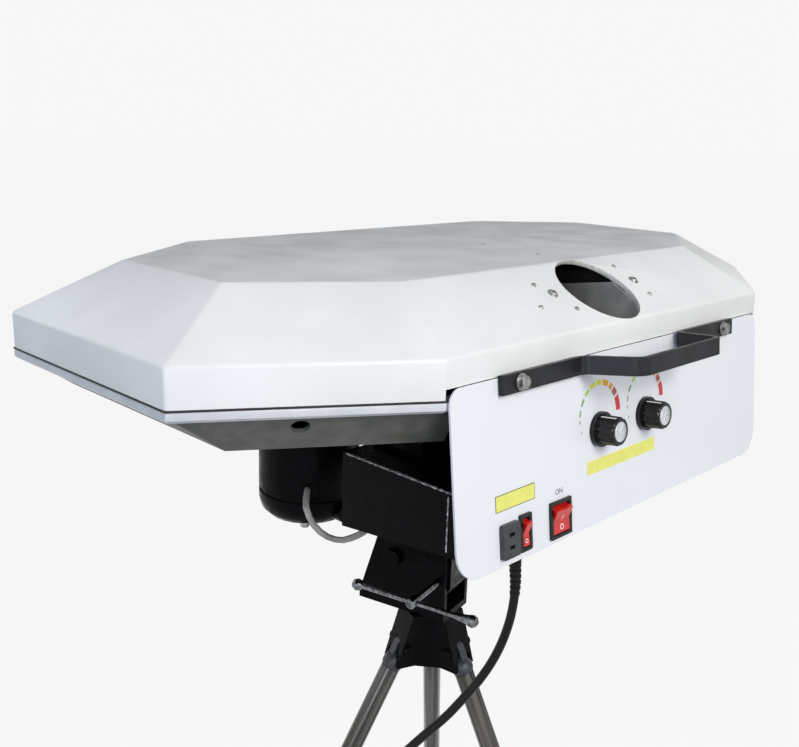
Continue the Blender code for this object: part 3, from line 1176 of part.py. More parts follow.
def tripod_head(stand):
    """Head with three pairs of ears, slotted for the legs, that tapers upwards."""
    rings = []
    for core, reach, height in ((HEAD_BOTTOM_CORE, HEAD_BOTTOM_REACH, HEAD_LOW),
                                (HEAD_TOP_CORE, HEAD_TOP_REACH, HEAD_TOP)):
        ring = []
        for azimuth in LEG_AZIMUTHS[::-1]:
            outward, sideways = leg_directions(azimuth)
            for r, way in ((core, -1), (reach, -1), (reach, 1), (core, 1)):
                ring.append(outward * r + sideways * way * LEG_PIN_HALF + Vector((0, 0, height)))
        rings.append(ring)
    bm = bmesh.new()
    loft(bm, rings)
    head = piece("tripod_head", bm, "black_paint", stand)

    bm = bmesh.new()
    bore = HEAD_BOLT_RADIUS + GAP
    pocket = HEAD_NUT_RADIUS + GAP * 4
    pocket_top = HEAD_LOW + HEAD_NUT_HEIGHT + GAP * 2
    turned(bm, [(pocket, HEAD_LOW - 0.01), (pocket, pocket_top), (bore, pocket_top),
                (bore, HEAD_TOP + 0.01)], 16)
    ball_drop = LEG_BALL_FROM_PIN * cos(LEG_SPLAY)
    recess_top = LEG_PIN_HEIGHT - ball_drop + LEG_BALL_RADIUS + RUN * 2
    recess_in = LEG_PIN_CIRCLE - LEG_BALL_RADIUS - RUN * 2
    slot_in = LEG_PIN_CIRCLE - LEG_TONGUE_RADIUS - RUN * 2
    slot_top = LEG_PIN_HEIGHT + LEG_TONGUE_RADIUS + RUN * 2
    boolean(head, tool("head_bolt_bore", bm, stand))
    slots = (("tongue_slots", slot_in, LEG_TONGUE / 2 + RUN, slot_top),
             ("ball_slots", recess_in, LEG_BALL_RADIUS + RUN * 2, recess_top))
    for name, inner, half, top in slots:
        bm = bmesh.new()
        for azimuth in LEG_AZIMUTHS:
            outward, sideways = leg_directions(azimuth)
            plan = [outward * r + sideways * s for r, s in
                    ((inner, -half), (0.1, -half), (0.1, half), (inner, half))]
            loft(bm, [[p + Vector((0, 0, h)) for p in plan] for h in (HEAD_LOW - 0.01, top)])
        boolean(head, tool(name, bm, stand))
    bm = bmesh.new()
    for azimuth in LEG_AZIMUTHS:
        outward, sideways = leg_directions(azimuth)
        middle = outward * LEG_PIN_CIRCLE + Vector((0, 0, LEG_PIN_HEIGHT))
        hole = LEG_PIN_RADIUS + GAP
        turned(bm, [(hole, -0.03), (hole, 0.03)], 12, facing(middle, sideways))
    boolean(head, tool("pin_cutter", bm, stand))

    for name, azimuth in zip(LEG_NAMES, LEG_AZIMUTHS):
        bm = bmesh.new()
        outward, sideways = leg_directions(azimuth)
        middle = outward * LEG_PIN_CIRCLE + Vector((0, 0, LEG_PIN_HEIGHT))
        end = LEG_PIN_HALF
        turned(bm, [(LEG_PIN_HEAD_RADIUS, -end - LEG_PIN_HEAD_HEIGHT), (LEG_PIN_HEAD_RADIUS, -end),
                    (LEG_PIN_RADIUS, -end), (LEG_PIN_RADIUS, end), (LEG_PIN_HEAD_RADIUS, end),
                    (LEG_PIN_HEAD_RADIUS, end + LEG_PIN_HEAD_HEIGHT)], 12,
               facing(middle, sideways))
        piece(f"leg_pin_{name}", bm, "black_paint", stand)


def leg(name, azimuth, stand):
    """Chromed tube with a ball cap that hinges in the head, and a rubber foot."""
    outward, sideways = leg_directions(azimuth)
    up = -(outward * sin(LEG_SPLAY) - Vector((0, 0, 1)) * cos(LEG_SPLAY))
    turn = Matrix((sideways, up.cross(sideways), up)).transposed()
    pin = outward * LEG_PIN_CIRCLE + Vector((0, 0, LEG_PIN_HEIGHT))
    axis = empty(f"leg_axis_{name}", stand, pin, turn.to_euler())

    bore = LEG_PIN_RADIUS + RUN
    centre = -LEG_BALL_FROM_PIN
    seat = LEG_TUBE_TOP
    plug = LEG_TUBE_RADIUS - LEG_TUBE_WALL - GAP
    last = asin((seat - centre) / LEG_BALL_RADIUS)
    ball = [(LEG_BALL_RADIUS * cos(a), centre + LEG_BALL_RADIUS * sin(a))
            for a in (last + (radians(80) - last) * i / 5 for i in range(6))]
    bm = bmesh.new()
    turned(bm, [(plug, seat - LEG_PLUG_LENGTH), (plug, seat), *ball], 16)
    cap = piece(f"leg_cap_{name}", bm, "grey_plastic", axis)
    tongue = [(LEG_TONGUE_RADIUS * cos(a), LEG_TONGUE_RADIUS * sin(a))
              for a in (pi * i / 6 for i in range(7))]
    bm = bmesh.new()
    prism(bm, [*tongue, (-LEG_TONGUE_RADIUS, centre), (LEG_TONGUE_RADIUS, centre)],
          -LEG_TONGUE / 2, LEG_TONGUE / 2, ALONG_X)
    boolean(cap, tool(f"leg_tongue_{name}", bm, axis), "UNION")
    bm = bmesh.new()
    turned(bm, [(bore, -0.02), (bore, 0.02)], 12, TO_LEFT)
    boolean(cap, tool(f"leg_cap_bore_{name}", bm, axis))

    top = LEG_TUBE_TOP - GAP
    bore = LEG_TUBE_RADIUS - LEG_TUBE_WALL
    bm = bmesh.new()
    turned_ring(bm, [(bore, LEG_TUBE_END), (LEG_TUBE_RADIUS, LEG_TUBE_END),
                     (LEG_TUBE_RADIUS, top), (bore, top)], 20)
    piece(f"leg_tube_{name}", bm, "chrome", axis)

    seat = LEG_TUBE_RADIUS + GAP
    mouth = LEG_TUBE_END - GAP + FOOT_LENGTH
    bm = bmesh.new()
    turned(bm, [(FOOT_RADIUS, -LEG_REACH - FOOT_RADIUS), (FOOT_RADIUS, mouth - 0.004),
                (FOOT_RADIUS - 0.002, mouth), (seat, mouth), (seat, LEG_TUBE_END - GAP)], 20)
    level = turn.transposed() @ Vector((0, 0, 1))
    cut = bmesh.ops.bisect_plane(bm, geom=bm.verts[:] + bm.edges[:] + bm.faces[:],
                                 plane_co=(0, 0, -LEG_REACH), plane_no=level, clear_inner=True)
    bmesh.ops.contextual_create(bm, geom=[g for g in cut["geom_cut"]
                                          if isinstance(g, bmesh.types.BMEdge)])
    piece(f"leg_foot_{name}", bm, "rubber", axis)


def coil_path(centre, height):
    """A cord wound inwards on the floor and outwards again on top, and its tangent ends."""
    total = COIL_TURNS_IN * 2
    count = total * POINTS_A_TURN
    points = []
    for i in range(count + 1):
        turns = i / POINTS_A_TURN
        inwards = min(turns, total - turns)
        radius = COIL_RADIUS + COIL_PITCH * (COIL_TURNS_IN / 2 - inwards)
        climb = min(max((turns - (COIL_TURNS_IN - 0.25)) / 0.5, 0), 1)
        lift = COIL_PITCH * (3 * climb ** 2 - 2 * climb ** 3)
        angle = COIL_START + 2 * pi * turns
        points.append((centre[0] + radius * cos(angle), centre[1] + radius * sin(angle),
                       height + lift))
    end, ahead = np.array(points[-1]), np.array(points[-1]) - np.array(points[-2])
    ahead /= np.linalg.norm(ahead)
    steps = int(round(COIL_TAIL / (CORD_DIAMETER * 2)))
    tail = [end + ahead * COIL_TAIL * i / steps for i in range(1, steps + 1)]
    return np.array(points + tail)


def least_gap(points, diameter, skip):
    """Smallest clear distance between parts of a cord that are not next to each other."""
    apart = np.linalg.norm(points[:, None] - points[None], axis=2)
    index = np.arange(len(points))
    apart[abs(index[:, None] - index[None]) < skip] = 1.0
    return apart.min() - diameter


def mains_lead(machine, panel):
    """Lead from the gland to the floor, its coil there, and the plug."""
    bpy.context.view_layer.update()
    to_machine = machine.matrix_world.inverted() @ panel.matrix_world
    tip = to_machine @ Vector((*GLAND_AT, WELL_BOTTOM - GAP - GLAND_LENGTH - GAP))
    down = (to_machine.to_3x3() @ Vector((0, 0, -1))).normalized()
    height = FLOOR + CORD_DIAMETER / 2 + GAP
    coil = coil_path(COIL_CENTRE, height)
    start = Vector(coil[0])
    lead_in = (start - Vector(coil[1])).normalized()
    route = [tip, tip + down * CORD_DIAMETER,
             (-0.1370, 0.0030, -0.2090), (-0.1388, 0.0048, -0.2362), (-0.1442, 0.0104, -0.2640),
             (-0.1518, 0.0186, -0.2877), (-0.1593, 0.0254, -0.3022), (-0.1680, 0.0341, -0.3199),
             (-0.1765, 0.0426, -0.3338), (-0.1940, 0.0600, -0.3600), (-0.2150, 0.0820, -0.3990),
             (-0.2340, 0.0970, -0.4500), (-0.2460, 0.1010, -0.5200), (-0.2530, 0.0880, -0.6200),
             (-0.2560, 0.0570, -0.7600), (-0.2570, 0.0190, -0.9200), (-0.2570, -0.0180, -1.0800),
             (-0.2565, -0.0470, -1.2200), (-0.2560, -0.0610, height + 0.0900),
             (-0.2558, -0.0610, height + 0.0500), (-0.2556, -0.0543, height + 0.0250),
             (-0.2554, -0.0360, height + 0.0072), (-0.2553, -0.0110, height + 0.0012),
             start + lead_in * 0.0400, start + lead_in * (CORD_DIAMETER + GAP),
             start + lead_in * GAP]
    points, free_length = smooth_route(route, CORD_DIAMETER * 3)
    tube("mains_cord", points, CORD_DIAMETER, 2, "cord_black", machine)
    tube("cord_coil", coil, CORD_DIAMETER, 1, "cord_black", machine)
    coil_length = np.linalg.norm(np.diff(coil, axis=0), axis=1).sum()
    gap = least_gap(coil, CORD_DIAMETER, POINTS_A_TURN // 2)
    print(f"cord: {free_length:.3f} m free, {coil_length:.3f} m coiled, coil gap {gap * 1000:.2f} mm")

    end = Vector(coil[-1])
    ahead = (end - Vector(coil[-2])).normalized()
    rear = end + ahead * GAP
    to_plug = Matrix.Translation(rear) @ Matrix((ahead, Vector((0, 0, 1)).cross(ahead),
                                                 Vector((0, 0, 1)))).transposed().to_4x4()
    low = height - rear.z - CORD_DIAMETER / 2
    middle = low + PLUG_HEIGHT / 2
    neck = [(0, CORD_DIAMETER * 0.75, 0), (PLUG_NECK, 0.0095, 0)]
    sections = [(x, rounded_rect(0, z, r * 2, r * 2, r * 0.98, 2)) for x, r, z in neck]
    sections.append((PLUG_NECK + 0.004, rounded_rect(0, middle, PLUG_WIDTH * 0.8,
                                                     PLUG_HEIGHT * 0.9, 0.006, 2)))
    sections.append((PLUG_NECK + 0.012, rounded_rect(0, middle, PLUG_WIDTH, PLUG_HEIGHT, 0.007, 2)))
    sections.append((PLUG_LENGTH, rounded_rect(0, middle, PLUG_WIDTH, PLUG_HEIGHT, 0.007, 2)))
    bm = bmesh.new()
    loft(bm, [[to_plug @ Vector((x, y, z)) for y, z in outline] for x, outline in sections])
    plug = piece("mains_plug", bm, "cord_black", machine)
    bm = bmesh.new()
    for y, z, grow in ((0, 0.0060, 1.3), (-0.0090, -0.0050, 1.0), (0.0090, -0.0050, 1.0)):
        at = to_plug @ Vector((PLUG_LENGTH, y, middle + z))
        radius = PIN_RADIUS * grow
        turned(bm, [(radius, -0.002), (radius, PIN_LENGTH - 0.001), (radius * 0.7, PIN_LENGTH)],
               12, facing(at, to_plug.to_3x3() @ Vector((1, 0, 0))))
    boolean(plug, tool("plug_pins", bm, machine), "UNION")


def motor_lead(side, way, machine):
    """Grey lead that loops from the motor's side into the control box's floor."""
    towards = Vector((way * 0.66, -0.75, 0)).normalized()
    leave = Vector((way * WHEEL_AXIS_X, WHEEL_AXIS_Y, MOTOR_TOP - MOTOR_LEAD_DOWN))
    leave += towards * (MOTOR_RADIUS + GAP)
    enter_y = 0.1040
    clear = MOTOR_LEAD_DIAMETER / 2 * tan(PANEL_LEAN) + GAP * 2
    enter = Vector((way * 0.2105, enter_y, box_floor(enter_y) - clear))
    route = [leave, leave + towards * MOTOR_LEAD_DIAMETER,
             (way * 0.2240, 0.1650, -0.1620), (way * 0.2240, 0.1600, -0.1720),
             (way * 0.2225, 0.1510, -0.1805), (way * 0.2200, 0.1395, -0.1845),
             (way * 0.2165, 0.1270, -0.1840), (way * 0.2130, 0.1160, -0.1785),
             enter - Vector((0, 0, MOTOR_LEAD_DIAMETER)), enter]
    points, length = smooth_route(route, MOTOR_LEAD_DIAMETER * 1.4)
    print(f"motor lead {side}: {length:.3f} m")
    tube(f"motor_lead_{side}", points, MOTOR_LEAD_DIAMETER, 2, "lead_grey", machine)


def footprint_centre(objects):
    """Middle of the box that the legs stand in, seen from above."""
    bpy.context.view_layer.update()
    corners = [item.matrix_world @ vertex.co for item in objects for vertex in item.data.vertices]
    xs = [c.x for c in corners]
    ys = [c.y for c in corners]
    return (min(xs) + max(xs)) / 2, (min(ys) + max(ys)) / 2


def build():
    clear_scene()
    assembly = empty("assembly")
    machine = empty("machine", assembly)
    turned_yoke = empty("yoke_frame", machine, (0, PAN_Y, 0), (0, 0, YOKE_TURN))
    stand = empty("head_frame", machine, (0, PAN_Y, 0), (0, 0, HEAD_TURN))
    panel = empty("panel_frame", machine, rotation=(-PANEL_LEAN, 0, 0))

    exit_shape = exit_cutter(machine)
    top_cover(machine, exit_shape)
    lower_tray(machine, exit_shape)
    chassis_deck(machine)
    box_hanger(machine)
    tilt_post(turned_yoke)
    for side, way in (("left", -1), ("right", 1)):
        motor(side, way, machine)
        wheel(side, way, machine)
        motor_lead(side, way, machine)
    feed_chute(machine)
    chute_cradle(machine)

    control_box(machine, panel)
    for side, way in (("left", -1), ("right", 1)):
        speed_drive(side, way, machine)
    control_panel(panel)
    handle(panel)
    for side, x in zip(("left", "right"), KNOB_X):
        knob(side, x, panel)
    rocker_switch("main_switch", MAIN_SWITCH_AT, MAIN_SWITCH_SIZE, panel)
    rocker_switch("feeder_switch", FEEDER_SWITCH_AT, FEEDER_SWITCH_SIZE, panel)
    power_socket(panel)
    cord_gland(panel)

    yoke(turned_yoke)
    clamp(turned_yoke)
    tripod_head(stand)
    for name, azimuth in zip(LEG_NAMES, LEG_AZIMUTHS):
        leg(name, azimuth, stand)
    mains_lead(machine, panel)

    feet = [bpy.data.objects[f"leg_foot_{name}"] for name in LEG_NAMES]
    x, y = footprint_centre(feet)
    assembly.location = (-x, -y, -FLOOR)
    bpy.context.view_layer.update()


build()
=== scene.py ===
# %% [markdown]
# # Cricket bowling machine on its tripod
#
# Two rubber wheels turn side by side under a faceted white cover and throw a cricket ball that
# is dropped through the round hole in the cover. The solid model is loaded first, as a fixed
# frame. Everything in this lesson is laid over it: the finishes, and the small pieces that a
# drawing of solids leaves out. All lengths are in metres and +Z is up.

# %% Load the solid model
import json
from math import atan2, cos, pi, radians, sin

import bmesh
import bpy
import numpy as np
from mathutils import Matrix, Vector

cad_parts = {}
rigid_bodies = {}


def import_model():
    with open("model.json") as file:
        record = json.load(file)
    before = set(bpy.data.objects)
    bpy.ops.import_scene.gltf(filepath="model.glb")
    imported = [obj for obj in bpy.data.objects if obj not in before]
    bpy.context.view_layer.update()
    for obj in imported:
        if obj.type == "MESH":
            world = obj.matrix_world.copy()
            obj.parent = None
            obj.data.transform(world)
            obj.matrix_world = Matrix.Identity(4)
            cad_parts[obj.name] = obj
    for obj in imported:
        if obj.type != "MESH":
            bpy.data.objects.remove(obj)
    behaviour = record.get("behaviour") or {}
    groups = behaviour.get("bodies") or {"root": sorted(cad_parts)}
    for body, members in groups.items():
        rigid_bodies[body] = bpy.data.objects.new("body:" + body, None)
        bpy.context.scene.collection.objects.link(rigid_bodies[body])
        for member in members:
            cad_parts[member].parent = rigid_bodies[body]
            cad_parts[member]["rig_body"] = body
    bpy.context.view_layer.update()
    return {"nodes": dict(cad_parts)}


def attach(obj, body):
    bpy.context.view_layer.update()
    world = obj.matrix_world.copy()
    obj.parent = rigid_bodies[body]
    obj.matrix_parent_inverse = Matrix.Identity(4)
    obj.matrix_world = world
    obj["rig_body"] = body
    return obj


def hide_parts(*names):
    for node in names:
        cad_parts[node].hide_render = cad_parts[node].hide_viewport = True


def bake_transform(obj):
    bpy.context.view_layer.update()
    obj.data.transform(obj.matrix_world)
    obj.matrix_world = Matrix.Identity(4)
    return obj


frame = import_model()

# %% [markdown]
# ## Where the machine's own zero lies
#
# The machine is drawn from the middle of its rear edge, level with the top of the skirt. The
# stand lifts that point to its working height. The control panel leans a few degrees, so
# points on it are given across the panel, up the panel, and out of its face.

# %% Three ways to say where a point is
MM = 0.001
MACHINE_ZERO = np.array((0.041453, -0.123102, 1.410050))
PANEL_LEAN = radians(6.7)
COVER_RISE = 0.0417
REAR_SLOPE_DEPTH = 0.0740
COVER_SLOPE = atan2(COVER_RISE, REAR_SLOPE_DEPTH)


def in_machine(points):
    """Points of the shared frame, from points measured from the machine's own zero."""
    return np.asarray(points, float) + MACHINE_ZERO


def on_slope(across, up, out):
    """Points on the cover's rear slope: turn (up, out) by the slope's angle about X."""
    across, up, out = np.broadcast_arrays(across, up, out)
    y = up * cos(COVER_SLOPE) - out * sin(COVER_SLOPE)
    z = up * sin(COVER_SLOPE) + out * cos(COVER_SLOPE)
    return in_machine(np.stack([across, y, z], axis=-1))


def on_panel(across, up, out):
    """Points on the leaning panel: turn (up, out) by the panel's lean about X."""
    across, up, out = np.broadcast_arrays(across, up, out)
    y = up * sin(PANEL_LEAN) - out * cos(PANEL_LEAN)
    z = up * cos(PANEL_LEAN) + out * sin(PANEL_LEAN)
    return in_machine(np.stack([across, y, z], axis=-1))


print("panel's middle", on_panel(0.0, -0.09, 0.0).round(4))

# %% [markdown]
# ## Camera
#
# The photograph looks down at the machine from its rear left. The camera's direction, tilt and
# lens were found by fitting edges of known length in the photograph. The camera could also be
# aimed by hand, but a fitted one puts every edge where the photograph has it.

# %% Camera
CAMERA_YAW = radians(45.26)
CAMERA_PITCH = radians(-14.70)
CAMERA_ROLL = radians(1.79)
CAMERA_AT = (-0.7008, -0.4155, 0.1527)
ahead = Vector((sin(CAMERA_YAW) * cos(CAMERA_PITCH), cos(CAMERA_YAW) * cos(CAMERA_PITCH),
                sin(CAMERA_PITCH)))
level_right = Vector((cos(CAMERA_YAW), -sin(CAMERA_YAW), 0))
level_up = level_right.cross(ahead)
right = cos(CAMERA_ROLL) * level_right + sin(CAMERA_ROLL) * level_up
up = cos(CAMERA_ROLL) * level_up - sin(CAMERA_ROLL) * level_right
camera = bpy.data.objects.new("camera", bpy.data.cameras.new("camera"))
camera.data.sensor_width = 36
camera.data.lens = 42.24
camera.data.clip_start = 0.02
camera.matrix_world = (Matrix.Translation(Vector(in_machine(CAMERA_AT)))
                       @ Matrix((right, up, -ahead)).transposed().to_4x4())
bpy.context.scene.collection.objects.link(camera)
bpy.context.scene.camera = camera
bpy.context.scene.view_settings.view_transform = "Standard"
print("camera at", [round(v, 3) for v in camera.location])

# %% [markdown]
# ## Surfaces from arrays
#
# A surface here is a grid of points, worked out as one array: rows run along it and columns
# run round it. The same few lines then join each point to its neighbours. A grid that closes
# on itself, such as a tube, wraps its last column to its first.


# %% Grid to mesh
def grid_faces(rows, columns, first, round_columns, cap):
    """Four-sided faces between neighbouring rows and columns, with the ends filled if asked."""
    index = first + np.arange(rows * columns).reshape(rows, columns)
    if round_columns:
        index = np.hstack([index, index[:, :1]])
    quads = np.stack([index[:-1, :-1], index[:-1, 1:], index[1:, 1:], index[1:, :-1]], axis=-1)
    faces = quads.reshape(-1, 4).tolist()
    if cap:
        faces.append(index[0, :columns][::-1].tolist())
        faces.append(index[-1, :columns].tolist())
    return faces


def make_piece(name, grids, finish, body, crease=35, round_columns=True, cap=True):
    """One object from several grids of points, riding on a body, with folds kept sharp."""
    points = []
    faces = []
    for grid in grids:
        faces += grid_faces(*grid.shape[:2], sum(len(p) for p in points), round_columns, cap)
        points.append(grid.reshape(-1, 3))
    mesh = bpy.data.meshes.new(name)
    mesh.from_pydata(np.vstack(points).tolist(), [], faces)
    bm = bmesh.new()
    bm.from_mesh(mesh)
    bmesh.ops.remove_doubles(bm, verts=bm.verts, dist=2e-6)
    bmesh.ops.recalc_face_normals(bm, faces=bm.faces)
    bm.to_mesh(mesh)
    bm.free()
    mesh.shade_smooth()
    mesh.set_sharp_from_angle(angle=radians(crease))
    mesh.materials.append(finish)
    made = bpy.data.objects.new(name, mesh)
    bpy.context.scene.collection.objects.link(made)
    if body:
        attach(made, body)
    print(f"{name}: {len(mesh.polygons)} faces")
    return made


# %% [markdown]
# A turned shape, such as a screw head, is a profile of radius against height carried round an
# axis. A tube is a circle carried along a path. Both come out as grids.


# %% Turned shapes and tubes
def frame_of(direction):
    """Two unit vectors square to a direction, and the direction itself."""
    along = np.asarray(direction, float) / np.linalg.norm(direction)
    helper = np.array((0, 0, 1.0)) if abs(along[2]) < 0.9 else np.array((1.0, 0, 0))
    side = np.cross(helper, along)
    side /= np.linalg.norm(side)
    return side, np.cross(along, side), along


def turned(profile, at, direction, count=24):
    """Point = at + height * axis + radius * (cos a, sin a), for each radius and height."""
    side, other, along = frame_of(direction)
    radius, height = np.asarray(profile, float).T[:, :, None, None]
    angle = np.linspace(0, 2 * pi, count, endpoint=False)
    ring = side * np.cos(angle)[:, None] + other * np.sin(angle)[:, None]
    return np.asarray(at, float) + height * along + radius * ring


def tube(path, radius, count=16):
    """Circles carried along a path, kept untwisted by carrying their first side along."""
    path = np.asarray(path, float)
    radius = np.broadcast_to(np.asarray(radius, float), len(path))
    ahead = np.gradient(path, axis=0)
    ahead /= np.linalg.norm(ahead, axis=1)[:, None]
    side = frame_of(ahead[0])[0]
    sides = []
    for direction in ahead:
        side = side - (side @ direction) * direction
        side = side / np.linalg.norm(side)
        sides.append(side)
    sides = np.array(sides)
    others = np.cross(ahead, sides)
    angle = np.linspace(0, 2 * pi, count, endpoint=False)[None, :, None]
    ring = sides[:, None] * np.cos(angle) + others[:, None] * np.sin(angle)
    return path[:, None] + radius[:, None, None] * ring


# %% [markdown]
# ## Colours and finishes
#
# Colours are written as they are seen on a screen, so one function turns them to the linear
# values that Blender mixes. Most finishes share two habits of real surfaces: the tone wanders
# a little over some size, and fine grain roughens the gloss. Both are noise, with its size
# given in millimetres.


# %% Colour, node and finish helpers
def colour(text):
    """Linear colour from an sRGB hex value: c / 12.92, or ((c + 0.055) / 1.055) ** 2.4."""
    channels = np.array([int(text[i:i + 2], 16) / 255 for i in (1, 3, 5)])
    linear = np.where(channels <= 0.04045, channels / 12.92, ((channels + 0.055) / 1.055) ** 2.4)
    return (*linear.tolist(), 1.0)


def add_node(tree, kind, inputs, **settings):
    """Add one node, with its settings, and fill or link its inputs."""
    node = tree.nodes.new(kind)
    for name, value in settings.items():
        setattr(node, name, value)
    for name, value in inputs.items():
        if isinstance(value, bpy.types.NodeSocket):
            tree.links.new(value, node.inputs[name])
        else:
            node.inputs[name].default_value = value
    return node


def new_finish(name, **values):
    """A material, its node tree, its Principled shader and its Object coordinates."""
    made = bpy.data.materials.new(name)
    made.use_nodes = True
    tree = made.node_tree
    shader = tree.nodes["Principled BSDF"]
    for key, value in values.items():
        shader.inputs[key.replace("_", " ")].default_value = value
    place = add_node(tree, "ShaderNodeTexCoord", {}).outputs["Object"]
    return made, tree, shader, place


def wander(tree, place, size, low, high, detail=3.0):
    """Noise of a size in millimetres, stretched to run from low to high."""
    noise = add_node(tree, "ShaderNodeTexNoise",
                     {"Vector": place, "Scale": 1000 / size, "Detail": detail})
    return add_node(tree, "ShaderNodeMapRange",
                    {"Value": noise.outputs["Fac"], "From Min": 0.28, "From Max": 0.72,
                     "To Min": low, "To Max": high},
                    interpolation_type="SMOOTHSTEP").outputs["Result"]


def blend_colours(tree, share, first, second):
    """First colour where share is 0 and second where it is 1."""
    return add_node(tree, "ShaderNodeMix", {0: share, 6: first, 7: second},
                    data_type="RGBA").outputs[2]


def grain(tree, shader, place, size, depth, detail=2.0):
    """Bumps of a size in millimetres and a depth in millimetres."""
    noise = add_node(tree, "ShaderNodeTexNoise",
                     {"Vector": place, "Scale": 1000 / size, "Detail": detail})
    bump = add_node(tree, "ShaderNodeBump",
                    {"Height": noise.outputs["Fac"], "Strength": 1.0, "Distance": depth * MM})
    tree.links.new(bump.outputs["Normal"], shader.inputs["Normal"])


def tint(tree, shader, share, first, second):
    """Blend two screen colours by a share, as the shader's base colour."""
    tree.links.new(blend_colours(tree, share, colour(first), colour(second)),
                   shader.inputs["Base Color"])


def mottled(name, tones, patch, bumps, gloss=None, **values):
    """A finish whose tone wanders in patches (size, detail), with bumps and uneven gloss."""
    made, tree, shader, place = new_finish(name, **values)
    tint(tree, shader, wander(tree, place, patch[0], 0.0, 1.0, *patch[1:]), *tones)
    if gloss:
        tree.links.new(wander(tree, place, *gloss), shader.inputs["Roughness"])
    grain(tree, shader, place, *bumps)
    return made


# %% [markdown]
# The mains lead is PVC, pushed out of a die while soft: satin black, very slightly grained,
# with dust that greys it in patches. It is made first, because the cords come before all else.

# %% Lead sheath
cord_black = mottled("lead_sheath_pvc", ("#040404", "#0C0C0D"), (25,), (1.2, 0.02),
                     gloss=(9, 0.34, 0.52), Specular_IOR_Level=0.2)

# %% [markdown]
# ## Mains lead
#
# A real lead of this kind is about three metres long. It leaves a gland under the control box,
# hangs down past the stand, and the length that is not needed lies in a coil on the floor. The
# route is a smooth curve through a few points. Two joints lie between its ends, so it is made
# in three lengths: an upper and a lower hanging length, split a set distance below the machine,
# and the coil, which rides on the tripod and stays on the floor.


# %% Smooth route
CORD_DIAMETER = 0.0075
CORD_GAP = 0.0003
FLOOR_BELOW = -MACHINE_ZERO[2]


def run_of(path):
    """Distance along a path at each of its points."""
    return np.concatenate([[0], np.cumsum(np.linalg.norm(np.diff(path, axis=0), axis=1))])


def stretch_of(path, start, end, count):
    """Evenly spaced points on a path between two distances along it."""
    wanted = np.linspace(start, end, count)
    run = run_of(path)
    return np.column_stack([np.interp(wanted, run, path[:, k]) for k in range(3)])


def smooth_route(points, spacing):
    """Points a steady distance apart on the curve that passes smoothly through the route:
    between two points it is a cubic whose slopes there come from their neighbours."""
    p = np.array([points[0], *points, points[-1]], float)
    t = np.linspace(0, 1, 40, endpoint=False)[:, None]
    parts = [0.5 * (2 * b + (c - a) * t + (2 * a - 5 * b + 4 * c - d) * t ** 2
                    + (3 * b - a - 3 * c + d) * t ** 3)
             for a, b, c, d in zip(p, p[1:], p[2:], p[3:])]
    fine = np.vstack([*parts, p[-1:]])
    whole = run_of(fine)[-1]
    return stretch_of(fine, 0, whole, int(round(whole / spacing)) + 1)


def length_of(path):
    return float(np.linalg.norm(np.diff(path, axis=0), axis=1).sum())


# %% Coil on the floor
COIL_CENTRE = (-0.3150, 0.0600)
COIL_RADIUS = 0.0410
COIL_PITCH = 0.0081
COIL_TURNS_IN = 3
COIL_TAIL = 0.0480
POINTS_A_TURN = 24
LEAD_HEIGHT = FLOOR_BELOW + CORD_DIAMETER / 2 + CORD_GAP
turns = np.arange(COIL_TURNS_IN * 2 * POINTS_A_TURN + 1) / POINTS_A_TURN
inwards = np.minimum(turns, COIL_TURNS_IN * 2 - turns)
coil_radius = COIL_RADIUS + COIL_PITCH * (COIL_TURNS_IN / 2 - inwards)
climb = np.clip((turns - (COIL_TURNS_IN - 0.25)) / 0.5, 0, 1)
coil_path = np.column_stack([COIL_CENTRE[0] + coil_radius * np.cos(2 * pi * turns),
                             COIL_CENTRE[1] + coil_radius * np.sin(2 * pi * turns),
                             LEAD_HEIGHT + COIL_PITCH * (3 * climb ** 2 - 2 * climb ** 3)])
coil_start = coil_path[0]
lead_in = (coil_path[0] - coil_path[1]) / np.linalg.norm(coil_path[0] - coil_path[1])
coil_end = coil_path[-1]
lead_out = (coil_path[-1] - coil_path[-2]) / np.linalg.norm(coil_path[-1] - coil_path[-2])
tail = coil_end + lead_out * np.linspace(0, COIL_TAIL, 7)[1:, None]
coil_path = in_machine(np.vstack([coil_path, tail]))
print(f"coil: {length_of(coil_path):.3f} m in {COIL_TURNS_IN * 2} turns")

# %% Hanging length
GLAND_ACROSS = -0.1380
GLAND_TIP_UP = -0.1811
GLAND_TIP_IN = 0.0255
tip = on_panel(GLAND_ACROSS, GLAND_TIP_UP, -GLAND_TIP_IN) - MACHINE_ZERO
down = on_panel(GLAND_ACROSS, GLAND_TIP_UP - 1, -GLAND_TIP_IN) - MACHINE_ZERO - tip
route = [tip, tip + down * CORD_DIAMETER,
         (-0.1370, 0.0030, -0.2090), (-0.1388, 0.0048, -0.2362), (-0.1442, 0.0104, -0.2640),
         (-0.1518, 0.0186, -0.2877), (-0.1593, 0.0254, -0.3022), (-0.1680, 0.0341, -0.3199),
         (-0.1765, 0.0426, -0.3338), (-0.1940, 0.0600, -0.3600), (-0.2150, 0.0820, -0.3990),
         (-0.2340, 0.0970, -0.4500), (-0.2460, 0.1010, -0.5200), (-0.2530, 0.0880, -0.6200),
         (-0.2560, 0.0570, -0.7600), (-0.2570, 0.0190, -0.9200), (-0.2570, -0.0180, -1.0800),
         (-0.2565, -0.0470, -1.2200), (-0.2560, -0.0610, LEAD_HEIGHT + 0.0900),
         (-0.2558, -0.0610, LEAD_HEIGHT + 0.0500), (-0.2556, -0.0543, LEAD_HEIGHT + 0.0250),
         (-0.2554, -0.0360, LEAD_HEIGHT + 0.0072), (-0.2553, -0.0110, LEAD_HEIGHT + 0.0012),
         coil_start + lead_in * 0.0400,
         coil_start + lead_in * (CORD_DIAMETER + CORD_GAP), coil_start + lead_in * CORD_GAP]
